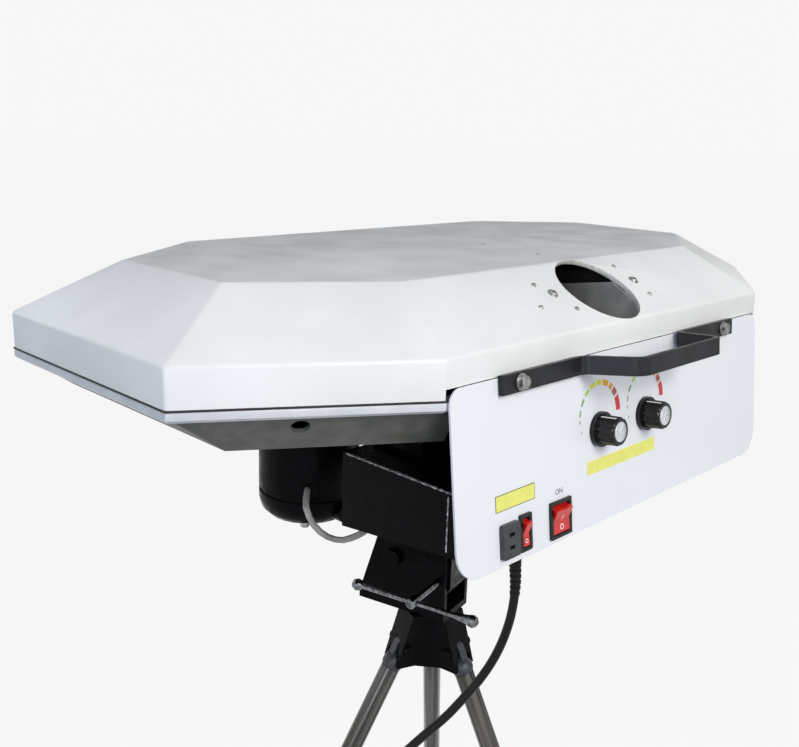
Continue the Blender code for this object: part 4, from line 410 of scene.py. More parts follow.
hanging = smooth_route(smooth_route(route, CORD_DIAMETER * 3), CORD_DIAMETER / 2)
hanging[:, 2] = np.maximum(hanging[:, 2], LEAD_HEIGHT)
hanging = in_machine(hanging)
TURN_BENDS_TO = 0.5600
split = int(np.argmax(hanging[:, 2] < MACHINE_ZERO[2] - TURN_BENDS_TO))
upper_path = hanging[:split + 1]
lower_path = hanging[split:]
print(f"hanging lead: {length_of(hanging):.3f} m")

# %% Three lengths of lead
cord_upper = make_piece("mains_lead_upper", [tube(upper_path, CORD_DIAMETER / 2)],
                        cord_black, None)
cord_lower = make_piece("mains_lead_lower", [tube(lower_path, CORD_DIAMETER / 2)],
                        cord_black, None)
coil_lead = make_piece("mains_lead_coil", [tube(coil_path, CORD_DIAMETER / 2, 12)],
                       cord_black, "tripod")
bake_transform(cord_upper)
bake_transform(cord_lower)
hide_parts("mains_cord")
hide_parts("cord_coil")

# %% [markdown]
# Where a lead leaves a housing it would crack if it could bend sharply, so a tapered sleeve
# carries it. The sleeve is a turned shape whose radius falls along its length and dips at each
# slot. One sits under the gland and one on the plug.


# %% Strain relief sleeves
def relief_grid(path, wide, narrow, slots):
    """Radius = a straight taper from wide to narrow, less a dip at each slot."""
    share = np.linspace(0, 1, len(path))
    taper = wide + (narrow - wide) * share
    dip = 0.0007 * np.clip(np.sin(share * slots * 2 * pi) * 3, 0, 1)
    return tube(path, taper - dip * (share > 0.12) * (share < 0.93), 20)


SLEEVE_LENGTH = 0.0300
SLEEVE_POINTS = 61
gland_stretch = stretch_of(upper_path, 0.0, SLEEVE_LENGTH, SLEEVE_POINTS)
gland_sleeve = make_piece("gland_relief", [relief_grid(gland_stretch, 0.0052, 0.0042, 6)],
                          cord_black, None)
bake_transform(gland_sleeve)
plug_end = length_of(coil_path)
plug_stretch = stretch_of(coil_path, plug_end, plug_end - SLEEVE_LENGTH, SLEEVE_POINTS)
plug_sleeve = make_piece("plug_relief", [relief_grid(plug_stretch, 0.0058, 0.0044, 6)],
                         cord_black, "tripod")

# %% [markdown]
# ## Floor and light
#
# The floor and the backdrop are one pale tone. The floor glows a little for the camera, for
# mirrors and for glass, so that it meets the backdrop without an edge, and it still takes the
# machine's shadow. The main lamp is large and soft and stands behind the panel's side, where the
# photograph's light comes from. A bluish one lights the left end, and a weak one the far side.

# %% Floor and backdrop
PALE = "#F7F7F7"


def seen_directly(tree):
    """1 for a ray that comes from the camera, a mirror or glass, and 0 for light's own paths."""
    paths = add_node(tree, "ShaderNodeLightPath", {})
    either = add_node(tree, "ShaderNodeMath", {0: paths.outputs["Is Camera Ray"],
                                               1: paths.outputs["Is Glossy Ray"]},
                      operation="MAXIMUM")
    return add_node(tree, "ShaderNodeMath", {0: either.outputs[0],
                                             1: paths.outputs["Is Transmission Ray"]},
                    operation="MAXIMUM").outputs[0]


world = bpy.data.worlds.new("studio")
world.use_nodes = True
tree = world.node_tree
soft_light = add_node(tree, "ShaderNodeBackground",
                      {"Color": colour("#DFE8F6"), "Strength": 0.40})
backdrop = add_node(tree, "ShaderNodeBackground", {"Color": colour(PALE), "Strength": 1.0})
mixed = add_node(tree, "ShaderNodeMixShader", {0: seen_directly(tree),
                                               1: soft_light.outputs[0],
                                               2: backdrop.outputs[0]})
tree.links.new(mixed.outputs[0], tree.nodes["World Output"].inputs["Surface"])
bpy.context.scene.world = world

floor_finish = bpy.data.materials.new("pale_floor")
floor_finish.use_nodes = True
tree = floor_finish.node_tree
matt = add_node(tree, "ShaderNodeBsdfDiffuse", {"Color": colour("#A4A4A4")})
glow = add_node(tree, "ShaderNodeEmission", {"Color": colour(PALE), "Strength": 1.105})
shown_floor = add_node(tree, "ShaderNodeMixShader", {0: 0.12, 1: glow.outputs[0],
                                                     2: matt.outputs[0]})
either_floor = add_node(tree, "ShaderNodeMixShader", {0: seen_directly(tree),
                                                      1: matt.outputs[0],
                                                      2: shown_floor.outputs[0]})
tree.links.new(either_floor.outputs[0], tree.nodes["Material Output"].inputs["Surface"])
reach = np.linspace(-80, 80, 3)
across, along = np.meshgrid(reach, reach)
floor = make_piece("floor", [np.stack([across, along, along * 0 - 0.0005], axis=-1)],
                   floor_finish, None, round_columns=False, cap=False)


# %% Lamps
def lamp(name, at, towards, size, watts, tone):
    """A square area lamp that faces a point."""
    light = bpy.data.lights.new(name, "AREA")
    light.size = size
    light.energy = watts
    light.color = colour(tone)[:3]
    item = bpy.data.objects.new(name, light)
    item.location = at
    item.rotation_euler = (Vector(towards) - Vector(at)).to_track_quat("-Z", "Y").to_euler()
    bpy.context.scene.collection.objects.link(item)


lamp("key", (-0.5, -2.8, 2.95), (0.0, 0.0, 1.35), 1.6, 78, "#FFFCF8")
lamp("left", (-3.1, -1.1, 1.75), (0.0, 0.0, 1.35), 1.6, 30, "#DCE8FF")
lamp("rear", (-0.6, 2.8, 2.4), (0.0, 0.0, 1.3), 1.8, 9, "#F4F7FF")


# %% [markdown]
# White surroundings alone make gloss look flat and chrome look like paint. A photographer
# stands dark cards just outside the picture for such things to mirror. These two are seen only
# in reflections: one low behind the machine, for the flat top and the tubes, and one beside it.

# %% Dark cards for the gloss
def dark_card(name, corner, across, along):
    """A flat card from one corner along two edges, which only mirrors see."""
    share = np.linspace(0, 1, 2)[:, None, None]
    other = np.linspace(0, 1, 2)[None, :, None]
    grid = np.array(corner) + share * np.array(across) + other * np.array(along)
    card = make_piece(name, [grid], card_black, None, round_columns=False, cap=False)
    card.visible_camera = False
    card.visible_diffuse = False
    card.visible_transmission = False
    card.visible_shadow = False


card_black = bpy.data.materials.new("card_black")
card_black.use_nodes = True
card_black.node_tree.nodes["Principled BSDF"].inputs["Base Color"].default_value = (
    0.01, 0.01, 0.012, 1)
dark_card("card_behind", (-0.2, 4.3, 1.55), (4.6, -3.0, 0.0), (0.0, 0.0, 2.6))
dark_card("card_beside", (3.2, -1.4, 0.2), (0.5, 1.5, 0.0), (0.0, 0.0, 1.7))

# %% [markdown]
# ## Moulded cover and tray
#
# The cover is glass fibre laid up in a mould, with a white gelcoat. Gelcoat is a thick, hard,
# glossy layer of pigmented resin. The mould leaves it very slightly wavy, and use leaves a
# little dust on it, so its gloss wanders. The tray is the same lay-up seen from its rough side,
# with a smooth silver rim. Its dark grey is partly painted shade, for an underside that faces
# away from the lamps.

# %% White gelcoat
gelcoat = mottled("white_gelcoat_moulded", ("#E4E5E3", "#EEEFED"), (110, 5.0), (7.0, 0.05),
                  gloss=(45, 0.30, 0.44), Roughness=0.34)

# %% Grey tray with its silver rim
RIM_LOW = 1.3711
tray_grey, tree, shader, place = new_finish("grey_tray_with_painted_shade", Roughness=0.5)
# The tray's dark grey is partly painted shade on the underside.
laminate_and_shade = blend_colours(tree, wander(tree, place, 14, 0.0, 1.0, 6.0),
                         colour("#4E504B"), colour("#62635E"))
rim_paint = blend_colours(tree, wander(tree, place, 30, 0.0, 1.0), colour("#C4C7CC"),
                          colour("#D4D7DB"))
height = add_node(tree, "ShaderNodeSeparateXYZ", {0: place}).outputs["Z"]
on_rim = add_node(tree, "ShaderNodeMath", {0: height, 1: RIM_LOW}, operation="GREATER_THAN")
tree.links.new(blend_colours(tree, on_rim.outputs[0], laminate_and_shade, rim_paint),
               shader.inputs["Base Color"])
tree.links.new(add_node(tree, "ShaderNodeMapRange",
                        {"Value": on_rim.outputs[0], "To Min": 0.55, "To Max": 0.28}
                        ).outputs["Result"], shader.inputs["Roughness"])
grain(tree, shader, place, 3.5, 0.12, 4.0)

# %% [markdown]
# ## Painted steel
#
# The control box, yoke, motors and handle are welded or pressed steel under black enamel. It
# was brushed or sprayed on thick, so it is glossy with a soft ripple, and it has rubbed thin
# and dusty in patches. The handle's paint is flatter, as powder coat is.

# %% Black enamel and powder coat
enamel = mottled("black_enamel_on_steel", ("#030304", "#0A0A0E"), (18, 6.0), (14.0, 0.40),
                 gloss=(11, 0.16, 0.42, 5.0), Specular_IOR_Level=0.05)
powder = mottled("black_powder_coat", ("#101114", "#1D1F23"), (30, 4.0), (1.0, 0.02),
                 gloss=(16, 0.30, 0.44), Specular_IOR_Level=0.3)

# %% [markdown]
# ## Printed panel
#
# The panel is sheet steel under a white printed film, bluish and semi-gloss. It is the
# smoothest surface of the machine, so its grain is very shallow.

# %% Panel film
panel_film = mottled("white_panel_film", ("#EBEDF1", "#EEF0F3"), (140, 2.0), (3.0, 0.004),
                     gloss=(60, 0.30, 0.32), Roughness=0.3)

# %% [markdown]
# ## Rubber, plastics and bare metals
#
# Each of these starts from its common name: vulcanised rubber on the feet, polyurethane on the
# wheels, ABS and nylon for moulded parts, polycarbonate for the rockers, cast aluminium for the
# hubs, zinc plating on fasteners, and chrome on the drawn steel tubes of the legs.

# %% Rubber and polyurethane
foot_rubber = mottled("vulcanised_rubber", ("#151515", "#262524"), (12, 5.0), (0.9, 0.08),
                      Roughness=0.75)
wheel_rubber = mottled("wheel_polyurethane", ("#3A3B3C", "#5B5A57"), (22, 6.0), (1.6, 0.12, 4.0),
                       gloss=(14, 0.5, 0.75), Roughness=0.6)

# %% Moulded plastics
nylon = mottled("grey_glass_filled_nylon", ("#23262A", "#373B40"), (6, 4.0), (0.8, 0.05),
                Roughness=0.45)
# Darker than the pipe's own grey: partly painted shade for the inside of the feed hole.
chute_plastic_and_shade = mottled("grey_pvc_pipe_and_shade", ("#7C7E7D", "#A09F9B"), (35, 5.0), (2.5, 0.03),
                        gloss=(12, 0.34, 0.5), Roughness=0.4)
gloss_black = mottled("moulded_black_abs", ("#0A0A0B", "#161618"), (5,), (0.7, 0.01),
                      gloss=(3, 0.14, 0.28), Specular_IOR_Level=0.3)
red_plastic = mottled("red_polycarbonate", ("#C81712", "#E0281F"), (6,), (2.0, 0.01),
                      Roughness=0.18, Subsurface_Weight=0.25,
                      Subsurface_Radius=(0.004, 0.0006, 0.0004))
lead_grey = mottled("grey_lead_sheath", ("#8A8782", "#A9A6A0"), (10, 4.0), (1.0, 0.02),
                    Roughness=0.45)

# %% Cast, plated and turned metals
cast = mottled("sand_cast_aluminium", ("#8F9194", "#B4B6B8"), (8, 5.0), (1.4, 0.14, 4.0),
               Metallic=1.0, Roughness=0.42)
zinc = mottled("zinc_plated_steel", ("#7F807D", "#B0B1AF"), (3, 4.0), (1.0, 0.02),
               gloss=(2, 0.26, 0.46), Metallic=1.0, Roughness=0.34)
brass = mottled("drawn_brass", ("#A5823C", "#C4A257"), (4, 4.0), (1.0, 0.02),
                Metallic=1.0, Roughness=0.3)
silver_insert = mottled("spun_aluminium_disc", ("#C6CAD0", "#E4E6EA"), (4, 5.0), (0.6, 0.01),
                        gloss=(1.2, 0.24, 0.42), Metallic=0.55, Roughness=0.3)

# %% Circuit board
board_green, tree, shader, place = new_finish("solder_mask_green", Roughness=0.4)
traces = add_node(tree, "ShaderNodeTexBrick", {"Vector": place, "Scale": 220.0,
                                               "Color1": colour("#1F5A35"),
                                               "Color2": colour("#17492A"),
                                               "Mortar": colour("#5D8B4E")})
tree.links.new(traces.outputs["Color"], shader.inputs["Base Color"])
grain(tree, shader, place, 3.0, 0.03)

# %% [markdown]
# Chromed tube is drawn through a die before it is plated, which leaves faint lines along it.
# The strong dark and light streaks here are painted reflection: noise that is stretched along
# each leg, so the pattern is turned to run with the leg before it is read. Each leg leans a
# different way, and has a finish of its own.


# %% Chromed tube
def chrome_painted_reflection(name, lean, azimuth, stretch, dark, light):
    """Chrome whose colour paints dark and light reflection along a line: turn the coordinates
    upright, then squeeze Z.
    """
    made, tree, shader, place = new_finish(name, Metallic=1.0, Roughness=0.16)
    upright = add_node(tree, "ShaderNodeMapping", {"Vector": place,
                                                   "Rotation": (0.0, 0.0, azimuth)})
    level = add_node(tree, "ShaderNodeMapping", {"Vector": upright.outputs[0],
                                                 "Rotation": (lean, 0.0, 0.0)})
    squeezed = add_node(tree, "ShaderNodeMapping", {"Vector": level.outputs[0],
                                                    "Scale": (1.0, 1.0, stretch)}).outputs[0]
    # The dark and light tones are painted reflection streaks, laid over faint drawn lines.
    tint(tree, shader, wander(tree, squeezed, 5, 0.0, 1.0, 3.0), dark, light)
    tree.links.new(wander(tree, squeezed, 3, 0.10, 0.26), shader.inputs["Roughness"])
    grain(tree, shader, squeezed, 2.5, 0.02)
    return made


# The T-handle's chrome is darkened all over with the same tones: painted darker reflection.
chrome = chrome_painted_reflection("chromed_steel_painted_dark", 0.0, 0.0, 1.0, "#4E5053", "#8B8D90")
LEG_SPLAY = radians(26)
HEAD_TURN = radians(9)
LEG_AZIMUTHS = {"left": radians(-60), "front": radians(60), "right": radians(180)}
leg_chrome_painted_streaks = {side: chrome_painted_reflection(f"chromed_tube_painted_streaks_{side}", -LEG_SPLAY, azimuth - HEAD_TURN, 0.02,
                                 "#0D0D0C", "#6E6C69")
              for side, azimuth in LEG_AZIMUTHS.items()}

# %% Finishes onto the solids
FINISHES = {"white_gelcoat": gelcoat, "grey_gelcoat": tray_grey, "black_paint": enamel,
            "panel_white": panel_film, "rubber": foot_rubber, "wheel_rubber": wheel_rubber,
            "cast_aluminium": cast, "zinc": zinc, "chrome": chrome, "grey_plastic": nylon,
            "chute_grey": chute_plastic_and_shade, "gloss_black": gloss_black,
            "silver_insert": silver_insert, "red_plastic": red_plastic,
            "cord_black": cord_black, "lead_grey": lead_grey, "board_green": board_green,
            "brass": brass}
slot_of = {}
for name, node in frame["nodes"].items():
    for place_in_mesh in node.material_slots:
        slot_of[name] = place_in_mesh.material.name.split(".")[0]
        place_in_mesh.material = FINISHES[slot_of[name]]
for side, finish in leg_chrome_painted_streaks.items():
    frame["nodes"][f"leg_tube_{side}"].material_slots[0].material = finish
frame["nodes"]["push_handle"].material_slots[0].material = powder
print(len(frame["nodes"]), "solids dressed")

# %% [markdown]
# ## Rounder edges on the visible solids
#
# The solids arrive as loose flat triangles. That is right for measuring, but it makes every
# cylinder look like a prism, and real steel and plastic have edges that are broken by a file,
# a mould or thick paint. Each solid that shows is copied, the copy's triangles are joined, its
# flat faces are merged, and a small bevel is put on its folds. The copy stands for the solid.


# %% Copies with joined faces
def broken_edges(node, width, crease=32):
    """A copy of a solid with joined faces, smooth rounds and folds bevelled by a width in mm."""
    solid = frame["nodes"][node]
    mesh = solid.data.copy()
    bm = bmesh.new()
    bm.from_mesh(mesh)
    bmesh.ops.remove_doubles(bm, verts=bm.verts, dist=1e-5)
    bmesh.ops.dissolve_limit(bm, angle_limit=radians(0.5), verts=bm.verts, edges=bm.edges)
    bm.to_mesh(mesh)
    bm.free()
    if mesh.has_custom_normals:
        mesh.attributes.remove(mesh.attributes["custom_normal"])
    mesh.shade_smooth()
    mesh.set_sharp_from_angle(angle=radians(crease))
    made = bpy.data.objects.new(f"{node}_shown", mesh)
    bpy.context.scene.collection.objects.link(made)
    if width:
        bevel = made.modifiers.new("broken_edges", "BEVEL")
        bevel.width = width * MM
        bevel.segments = 2
        bevel.limit_method = "ANGLE"
        bevel.angle_limit = radians(crease)
        bevel.harden_normals = True
    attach(made, solid["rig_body"])
    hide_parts(node)
    return made


EDGES = {"top_cover": 0, "lower_tray": 0, "push_handle": 0.5, "tilt_yoke": 0.8, "tilt_post": 0.6,
         "tripod_head": 0.8, "control_box": 0.6, "box_hanger": 0.4, "motor_left": 0.5,
         "motor_right": 0.5, "leg_tube_left": 0.2, "leg_tube_front": 0.2, "leg_tube_right": 0.2,
         "leg_cap_left": 0.4, "leg_cap_front": 0.4, "leg_cap_right": 0.4, "leg_foot_left": 0.8,
         "leg_foot_front": 0.8, "leg_foot_right": 0.8, "leg_pin_left": 0.3, "leg_pin_front": 0.3,
         "leg_pin_right": 0.3, "tommy_bar": 0, "clamp_screw": 0.3, "tilt_bolt": 0.4,
         "speed_knob_left": 0.3, "speed_knob_right": 0.3, "knob_insert_left": 0.2,
         "knob_insert_right": 0.2, "handle_bolt_left": 0.2, "handle_bolt_right": 0.2,
         "main_switch_frame": 0.3, "feeder_switch_frame": 0.3, "main_switch_rocker": 0.3,
         "feeder_switch_rocker": 0.3, "feeder_socket": 0.4, "cord_gland": 0.3,
         "mains_plug": 0.4, "motor_lead_left": 0, "motor_lead_right": 0, "feed_chute": 0.3,
         "wheel_tyre_left": 0.6, "wheel_tyre_right": 0.6, "wheel_hub_left": 0.5,
         "wheel_hub_right": 0.5, "control_panel": 0.2}
shown = {node: broken_edges(node, width) for node, width in EDGES.items()}
print(len(shown), "solids shown by copies")

# %% [markdown]
# ## Fasteners on the cover
#
# The cover is held by round-headed screws: two large ones beside the feed hole and small ones
# scattered where they meet the parts below. A head is a turned profile with a round socket
# sunk in it. All the heads of one size are one piece.


# %% Screws round the feed hole
def button_head(radius):
    """Radius against height of a domed head: a washer's edge, a dome, and a sunk socket."""
    dome = np.linspace(radius, radius * 0.45, 6)
    height = radius * 0.62 * np.sqrt(np.clip(1 - (dome / radius) ** 2, 0, 1)) + radius * 0.12
    start = [(radius, -0.0004), (radius, radius * 0.12)]
    socket = [(radius * 0.43, radius * 0.50), (radius * 0.40, radius * 0.16), (0.00001, 0.0003)]
    return np.array(start + list(zip(dome, height)) + socket)


def washer(radius, hole, height):
    """A flat ring: radius against height, out along the top and back along the foot."""
    return np.array([(hole, -0.0003), (radius, -0.0003), (radius, height * 0.7),
                     (radius - height * 0.3, height), (hole, height)])


slope_out = on_slope(0.0, 0.0, 1.0) - on_slope(0.0, 0.0, 0.0)
LARGE_SCREWS = ((-0.0625, 0.0460), (0.0625, 0.0460))
SMALL_SCREWS = ((0.0570, 0.0680), (-0.0540, 0.0240), (0.0616, 0.0250), (-0.0738, 0.0595),
                (-0.0936, 0.0327))
TOP_SCREWS = ((0.0149, 0.1156), (0.0279, 0.1941))
LARGE_HEAD = 0.0036
SMALL_HEAD = 0.0022
large = [turned(button_head(LARGE_HEAD), on_slope(x, up, 0.0), slope_out)
         for x, up in LARGE_SCREWS]
large += [turned(washer(0.0050, 0.0037, 0.0008), on_slope(x, up, 0.0), slope_out)
          for x, up in LARGE_SCREWS]
small = [turned(button_head(SMALL_HEAD), on_slope(x, up, 0.0), slope_out, 16)
         for x, up in SMALL_SCREWS]
small += [turned(button_head(SMALL_HEAD) * (1.0, 0.03), in_machine((x, y, COVER_RISE)),
                 (0, 0, 1), 16) for x, y in TOP_SCREWS]
make_piece("cover_screws_large", large, zinc, "machine")
make_piece("cover_screws_small", small, zinc, "machine")

# %% [markdown]
# The feed hole was cut through the moulding with a hole saw and rubbed smooth, which leaves a
# thin pale roll of bare resin round it. A rubber bead runs round the joint between cover and
# tray. Both are a small section carried round a closed path.


# %% Bead round the joint
def closed_strip(path, out, section):
    """Each section point = path point + first * outwards + second * up, round a closed path."""
    path = np.asarray(path, float)
    out = np.asarray(out, float)
    section = np.asarray(section, float)
    grid = (path[:, None] + out[:, None] * section[None, :, :1]
            + np.array((0, 0, 1.0)) * section[None, :, 1:])
    return np.concatenate([grid, grid[:1]])


SKIRT_CORNERS = np.array([(-0.2360, 0.0), (0.2360, 0.0), (0.3958, 0.0994), (0.3958, 0.3290),
                          (0.2360, 0.4360), (-0.2360, 0.4360), (-0.3958, 0.3290),
                          (-0.3958, 0.0994)])
SKIRT_LOW = -0.0301


def around(corners, height):
    """Corner points, and at each the direction that moves both its edges out by one."""
    before = corners - np.roll(corners, 1, axis=0)
    after = np.roll(corners, -1, axis=0) - corners
    before /= np.linalg.norm(before, axis=1)[:, None]
    after /= np.linalg.norm(after, axis=1)[:, None]
    normal_before = np.column_stack([before[:, 1], -before[:, 0]])
    normal_after = np.column_stack([after[:, 1], -after[:, 0]])
    mitre = normal_before + normal_after
    mitre /= (mitre * normal_after).sum(axis=1)[:, None]
    flat = np.zeros(len(corners))
    return (in_machine(np.column_stack([corners, flat + height])),
            np.column_stack([mitre, flat]))


arc = np.linspace(-pi / 2, pi / 2, 7)
bead = np.column_stack([0.0006 * np.cos(arc) - 0.0001, 0.0009 * np.sin(arc)])
bead = np.vstack([bead, [(-0.0004, 0.0006), (-0.0004, -0.0006)]])
gasket_path, gasket_out = around(SKIRT_CORNERS, SKIRT_LOW)
make_piece("cover_gasket", [closed_strip(gasket_path, gasket_out, bead)], foot_rubber,
           "machine", cap=False)

# %% Edge of the feed hole
FEED_HOLE_RADIUS = 0.0420
FEED_HOLE_UP = 0.0430
COVER_WALL = 0.0040
round_hole = np.linspace(0, 2 * pi, 73)[:, None]
lip = np.linspace(0, 2 * pi, 10, endpoint=False)[None]
ring = FEED_HOLE_RADIUS - 0.0002 + 0.0005 * np.cos(lip)
hole_bead = on_slope(ring * np.cos(round_hole), FEED_HOLE_UP + ring * np.sin(round_hole),
                     -COVER_WALL * 0.5 + (COVER_WALL * 0.5 + 0.0003) * np.sin(lip))
cut_edge = mottled("sanded_polyester_resin", ("#BDBDB6", "#DAD9D2"), (4, 4.0), (0.8, 0.05),
                   Roughness=0.5)
hole_edge = make_piece("feed_hole_edge", [hole_bead], cut_edge, "machine", cap=False)

# %% [markdown]
# ## Print on the panel
#
# Round each speed knob the film carries an arc of dashes that grow from a thin green one to a
# broad red one, as a speed scale does. Two yellow strips sit below them, left bare here. Each
# mark is a thin slab with its own colour of ink, a tenth of a millimetre proud, so that it does
# not flicker against the panel.

# %% Inks
INKS = {"grey": "#8C948E", "green": "#6FA85A", "lime": "#B7DB55", "yellow": "#EDEB3C",
        "amber": "#F0A92E", "rust": "#B4563A", "red": "#D2353A", "strip": "#EFEF78",
        "border": "#3B3C2A", "letter": "#55585C", "white": "#F4F1EE"}


def ink(name):
    """Print ink: nearly flat colour that the film's dust makes wander by a few steps."""
    made, tree, shader, place = new_finish(f"print_{name}", Roughness=0.38)
    base = colour(INKS[name])
    faded = tuple(channel * 0.90 + 0.02 for channel in base[:3]) + (1.0,)
    tree.links.new(blend_colours(tree, wander(tree, place, 7, 0.0, 1.0), base, faded),
                   shader.inputs["Base Color"])
    return made


inks = {name: ink(name) for name in INKS}
FILM = 0.00005
PRINT = 0.00012


def slab(outline, low=FILM, high=PRINT):
    """A thin slab on the panel: the outline at two heights."""
    outline = np.asarray(outline, float)
    return np.stack([on_panel(outline[:, 0], outline[:, 1], low),
                     on_panel(outline[:, 0], outline[:, 1], high)])


# %% Speed scales
KNOB_ACROSS = (-0.0528, 0.0180)
KNOB_UP = -0.0857
SCALE_SHIFT = (-0.0010, 0.0110)
SCALE_RADIUS = 0.0262
SCALE_DASHES = (("grey", 203, 199, 1.0), ("grey", 184, 178, 1.3), ("green", 171, 160, 1.7),
                ("green", 153, 139, 2.3), ("lime", 133, 119, 3.0), ("yellow", 114, 99, 3.9),
                ("yellow", 95, 80, 4.5), ("amber", 76, 60, 5.0), ("amber", 56, 46, 5.3),
                ("rust", 42, 29, 5.7), ("red", 25, 0, 6.2))


def dash(centre, start, end, width):
    """Outline of a piece of a ring: out along one arc and back along a wider one."""
    angles = np.radians(np.linspace(start, end, 6))
    inner = SCALE_RADIUS
    outer = SCALE_RADIUS + width * MM
    there = np.column_stack([np.cos(angles), np.sin(angles)])
    return np.array(centre) + np.vstack([there * inner, there[::-1] * outer])


for side, across in zip(("left", "right"), KNOB_ACROSS):
    centre = (across + SCALE_SHIFT[0], KNOB_UP + SCALE_SHIFT[1])
    for tone in dict.fromkeys(row[0] for row in SCALE_DASHES):
        dashes = [slab(dash(centre, *row[1:])) for row in SCALE_DASHES if row[0] == tone]
        marks = make_piece(f"speed_scale_{side}_{tone}", dashes, inks[tone], "machine")


# %% Bare strips and their border
def rectangle(left, right_edge, low, high):
    return np.array([(left, low), (right_edge, low), (right_edge, high), (left, high)])


strips = [slab(rectangle(-0.0715, 0.0340, -0.1221, -0.1107)),
          slab(rectangle(-0.1898, -0.1434, -0.1220, -0.1102), PRINT, PRINT * 2)]
make_piece("label_strips", strips, inks["strip"], "machine")
make_piece("label_border", [slab(rectangle(-0.1904, -0.1428, -0.1226, -0.1096))],
           inks["border"], "machine")


# %% [markdown]
# The word over the main switch only says what the switch does, so it stays. Blender's text is
# turned to a mesh, and the mesh is laid on the panel.

# %% Word over the main switch
def lettering(name, words, size, across, up_panel):
    """Text made a mesh, centred on a point of the panel."""
    curve = bpy.data.curves.new(name, "FONT")
    curve.body = words
    curve.size = size
    curve.align_x = "CENTER"
    curve.align_y = "CENTER"
    curve.extrude = PRINT / 2
    holder = bpy.data.objects.new(name, curve)
    bpy.context.scene.collection.objects.link(holder)
    bpy.context.view_layer.update()
    mesh = bpy.data.meshes.new_from_object(holder.evaluated_get(
        bpy.context.evaluated_depsgraph_get()))
    bpy.data.objects.remove(holder)
    flat = np.zeros(len(mesh.vertices) * 3)
    mesh.vertices.foreach_get("co", flat)
    flat = flat.reshape(-1, 3)
    laid = on_panel(flat[:, 0] + across, flat[:, 1] + up_panel, flat[:, 2] + PRINT / 2 + FILM)
    mesh.vertices.foreach_set("co", laid.ravel())
    mesh.materials.clear()
    mesh.materials.append(inks["letter"])
    made = bpy.data.objects.new(name, mesh)
    bpy.context.scene.collection.objects.link(made)
    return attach(made, "machine")


MAIN_SWITCH = (-0.1115, -0.1470)
WORD_SIZE = 0.0065
WORD_UP = -0.1252
lettering("main_switch_word", "ON", WORD_SIZE, MAIN_SWITCH[0], WORD_UP)

# %% [markdown]
# ## Marks on the rockers, and pointers on the knobs
#
# A rocker is hollowed in the middle, and the mark for off is printed on its lower half. The
# corners of the solid's face give a profile of height against depth, and each mark is laid on
# that profile. The knobs get a white line that points at the scale.


# %% Marks laid on a solid
ROCKER_HOLLOW = 0.0045
MARK_GAP = 0.00004
MARK_RISE = 0.00010
MARK_EDGE = np.array([(-1, 0.0), (-1, 1.0), (1, 1.0), (1, 0.0)])
PANEL_UP = on_panel(0.0, 1.0, 0.0) - on_panel(0.0, 0.0, 0.0)
PANEL_OUT = on_panel(0.0, 0.0, 1.0) - on_panel(0.0, 0.0, 0.0)


def laid_on(node, across, up_panel):
    """Points of a mark on a rocker: out = its face's profile read off at the point's height."""
    corners = np.empty(len(frame["nodes"][node].data.vertices) * 3)
    frame["nodes"][node].data.vertices.foreach_get("co", corners)
    corners = corners.reshape(-1, 3) - on_panel(0.0, 0.0, 0.0)
    up = corners @ PANEL_UP
    out = corners @ PANEL_OUT
    on_face = out > out.max() - ROCKER_HOLLOW
    order = np.argsort(up[on_face])
    face = np.interp(up_panel, up[on_face][order], out[on_face][order])
    low = on_panel(across, up_panel, face + MARK_GAP)
    return low + PANEL_OUT * MARK_RISE * MARK_EDGE[:, 1][None, :, None]


def ring_mark(node, across, up_panel, half_wide, half_high, line):
    """A printed O as a grid: the angle runs round, and four sides run across the line."""
    angle = np.linspace(0, 2 * pi, 33)[:, None]
    wide = half_wide + line / 2 * MARK_EDGE[:, 0][None]
    high = half_high + line / 2 * MARK_EDGE[:, 0][None]
    return laid_on(node, across + wide * np.cos(angle), up_panel + high * np.sin(angle))


def bar_mark(node, across, up_panel, half_wide, half_high):
    """A printed I as a small raised rectangle that follows the face below it."""
    height = np.linspace(up_panel - half_high, up_panel + half_high, 6)[:, None]
    return laid_on(node, across + half_wide * MARK_EDGE[:, 0][None], height)


FEEDER_SWITCH = (-0.1570, -0.1458)
OFF_BELOW = 0.0068
make_piece("main_rocker_mark", [
    ring_mark("main_switch_rocker", MAIN_SWITCH[0], MAIN_SWITCH[1] - OFF_BELOW, 0.0020, 0.0020,
              0.0008)], inks["white"], "main_rocker", cap=False)
make_piece("main_rocker_bar", [
    bar_mark("main_switch_rocker", MAIN_SWITCH[0], MAIN_SWITCH[1] + 0.0010, 0.0004, 0.0018),
], inks["white"], "main_rocker")
make_piece("feeder_rocker_mark", [
    ring_mark("feeder_switch_rocker", FEEDER_SWITCH[0], FEEDER_SWITCH[1] - OFF_BELOW, 0.0013, 0.0014,
              0.0006)], inks["white"], "feeder_rocker", cap=False)

# %% Pointers on the knobs
KNOB_LENGTH = 0.0205
POINTER = radians(112)
for side, across in zip(("left", "right"), KNOB_ACROSS):
    out = np.array([0.0126, 0.0129, 0.0129, 0.0126])[None]
    wide = np.array([-0.0005, -0.0005, 0.0005, 0.0005])[None]
    along = np.linspace(0.0050, KNOB_LENGTH - 0.0012, 4)[:, None]
    x = across + out * cos(POINTER) - wide * sin(POINTER)
    height = KNOB_UP + out * sin(POINTER) + wide * cos(POINTER)
    make_piece(f"knob_pointer_{side}", [on_panel(x, height, along)], inks["white"],
               f"knob_{side}")

# %% [markdown]
# ## Welds and bolts on the control box
#
# The box is folded from sheet and welded along its corners by hand. Such a bead is a row of
# overlapping puddles, so it is a tube whose radius swells and sinks every few millimetres. The
# bolts that hold the hanger come through the box's top, beside the upper box.


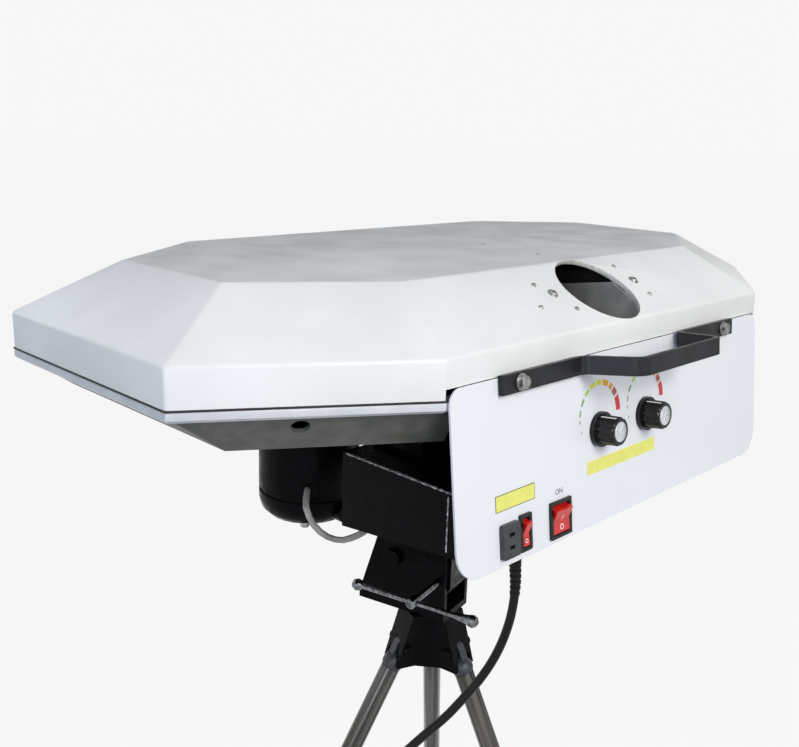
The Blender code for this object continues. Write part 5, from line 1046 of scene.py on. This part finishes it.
# %% Weld beads
def weld(start, end, radius, pitch, seed):
    """A tube whose radius = radius * (0.62 + 0.5 * |sin| + 0.08 * shift) along the path."""
    start = np.asarray(start, float)
    end = np.asarray(end, float)
    long = np.linalg.norm(end - start)
    share = np.linspace(0, 1, int(long / 0.0007) + 2)
    chance = np.random.default_rng(seed)
    shift = np.interp(share, np.linspace(0, 1, 12), chance.uniform(-1, 1, 12))
    swell = np.abs(np.sin(pi * share * long / pitch + shift))
    size = radius * (0.62 + 0.5 * swell + 0.08 * shift)
    size[[0, -1]] = 0.0002
    path = start + share[:, None] * (end - start)
    return tube(in_machine(path), size, 10)


BOX_SIDE = 0.2260
BOX_TOP = -0.0996
BOX_FRONT = 0.1160
WELD_LOW = -0.1470
beads = []
for way in (-1, 1):
    side_x = way * (BOX_SIDE + 0.0002)
    beads.append(weld((side_x, -0.0030, BOX_TOP - 0.0006),
                      (side_x, BOX_FRONT - 0.004, BOX_TOP - 0.0006), 0.0011, 0.0075, 3 + way))
    beads.append(weld((side_x, 0.0010, BOX_TOP - 0.0030), (side_x, 0.0010, WELD_LOW),
                      0.0009, 0.0060, 7 + way))
# Bright bare-steel patches on the black bead are painted glints on its ripples.
weld_painted_glints, tree, shader, place = new_finish("steel_weld_painted_glints", Roughness=0.24)
tint(tree, shader, wander(tree, place, 5, 0.0, 1.0), "#040405", "#A6A8AC")
tree.links.new(wander(tree, place, 5, 0.0, 1.0), shader.inputs["Metallic"])
grain(tree, shader, place, 2.0, 0.08)
weld_beads = make_piece("box_weld_beads", beads, weld_painted_glints, "machine", crease=60)


# %% Bolts on the box
def hex_head(radius, height, at, direction):
    """A hexagon head: six flat sides, and a chamfer that rounds the top to a circle."""
    return turned([(radius * 0.98, 0.0), (radius, 0.0003), (radius, height * 0.82),
                   (radius * 0.86, height), (0.00001, height)], at, direction, 6)


HANGER_BOLTS = [(x * way, y) for x, y in ((0.1720, 0.0970), (0.1810, 0.0700)) for way in (-1, 1)]
box_bolts = [hex_head(0.0058, 0.0040, in_machine((x, y, BOX_TOP)), (0, 0, 1))
             for x, y in HANGER_BOLTS]
box_bolts += [turned(washer(0.0078, 0.0045, 0.0010), in_machine((x, y, BOX_TOP)), (0, 0, 1))
              for x, y in HANGER_BOLTS]
bolt_piece = make_piece("box_bolts", box_bolts, zinc, "machine")

# %% [markdown]
# ## Motors
#
# A brushed motor of this size is held together by four long bolts. Their heads sit in the end
# bell, evenly spaced on a circle, so one loop over a quarter turn places them all.

# %% Motor end bolts
MOTOR_AXES = ((-0.1800, 0.2140), (0.1800, 0.2140))
MOTOR_TOP = -0.0688
MOTOR_LENGTH = 0.1260
BELL_DEPTH = 0.0040
BOLT_CIRCLE = 0.0360
end_bolts = []
for x, y in MOTOR_AXES:
    for quarter in np.arange(4) * pi / 2 + pi / 4:
        spot = (x + BOLT_CIRCLE * cos(quarter), y + BOLT_CIRCLE * sin(quarter),
                MOTOR_TOP - MOTOR_LENGTH + BELL_DEPTH)
        end_bolts.append(hex_head(0.0042, 0.0046, in_machine(spot), (0, 0, -1)))
end_bolt_piece = make_piece("motor_end_bolts", end_bolts, zinc, "machine")
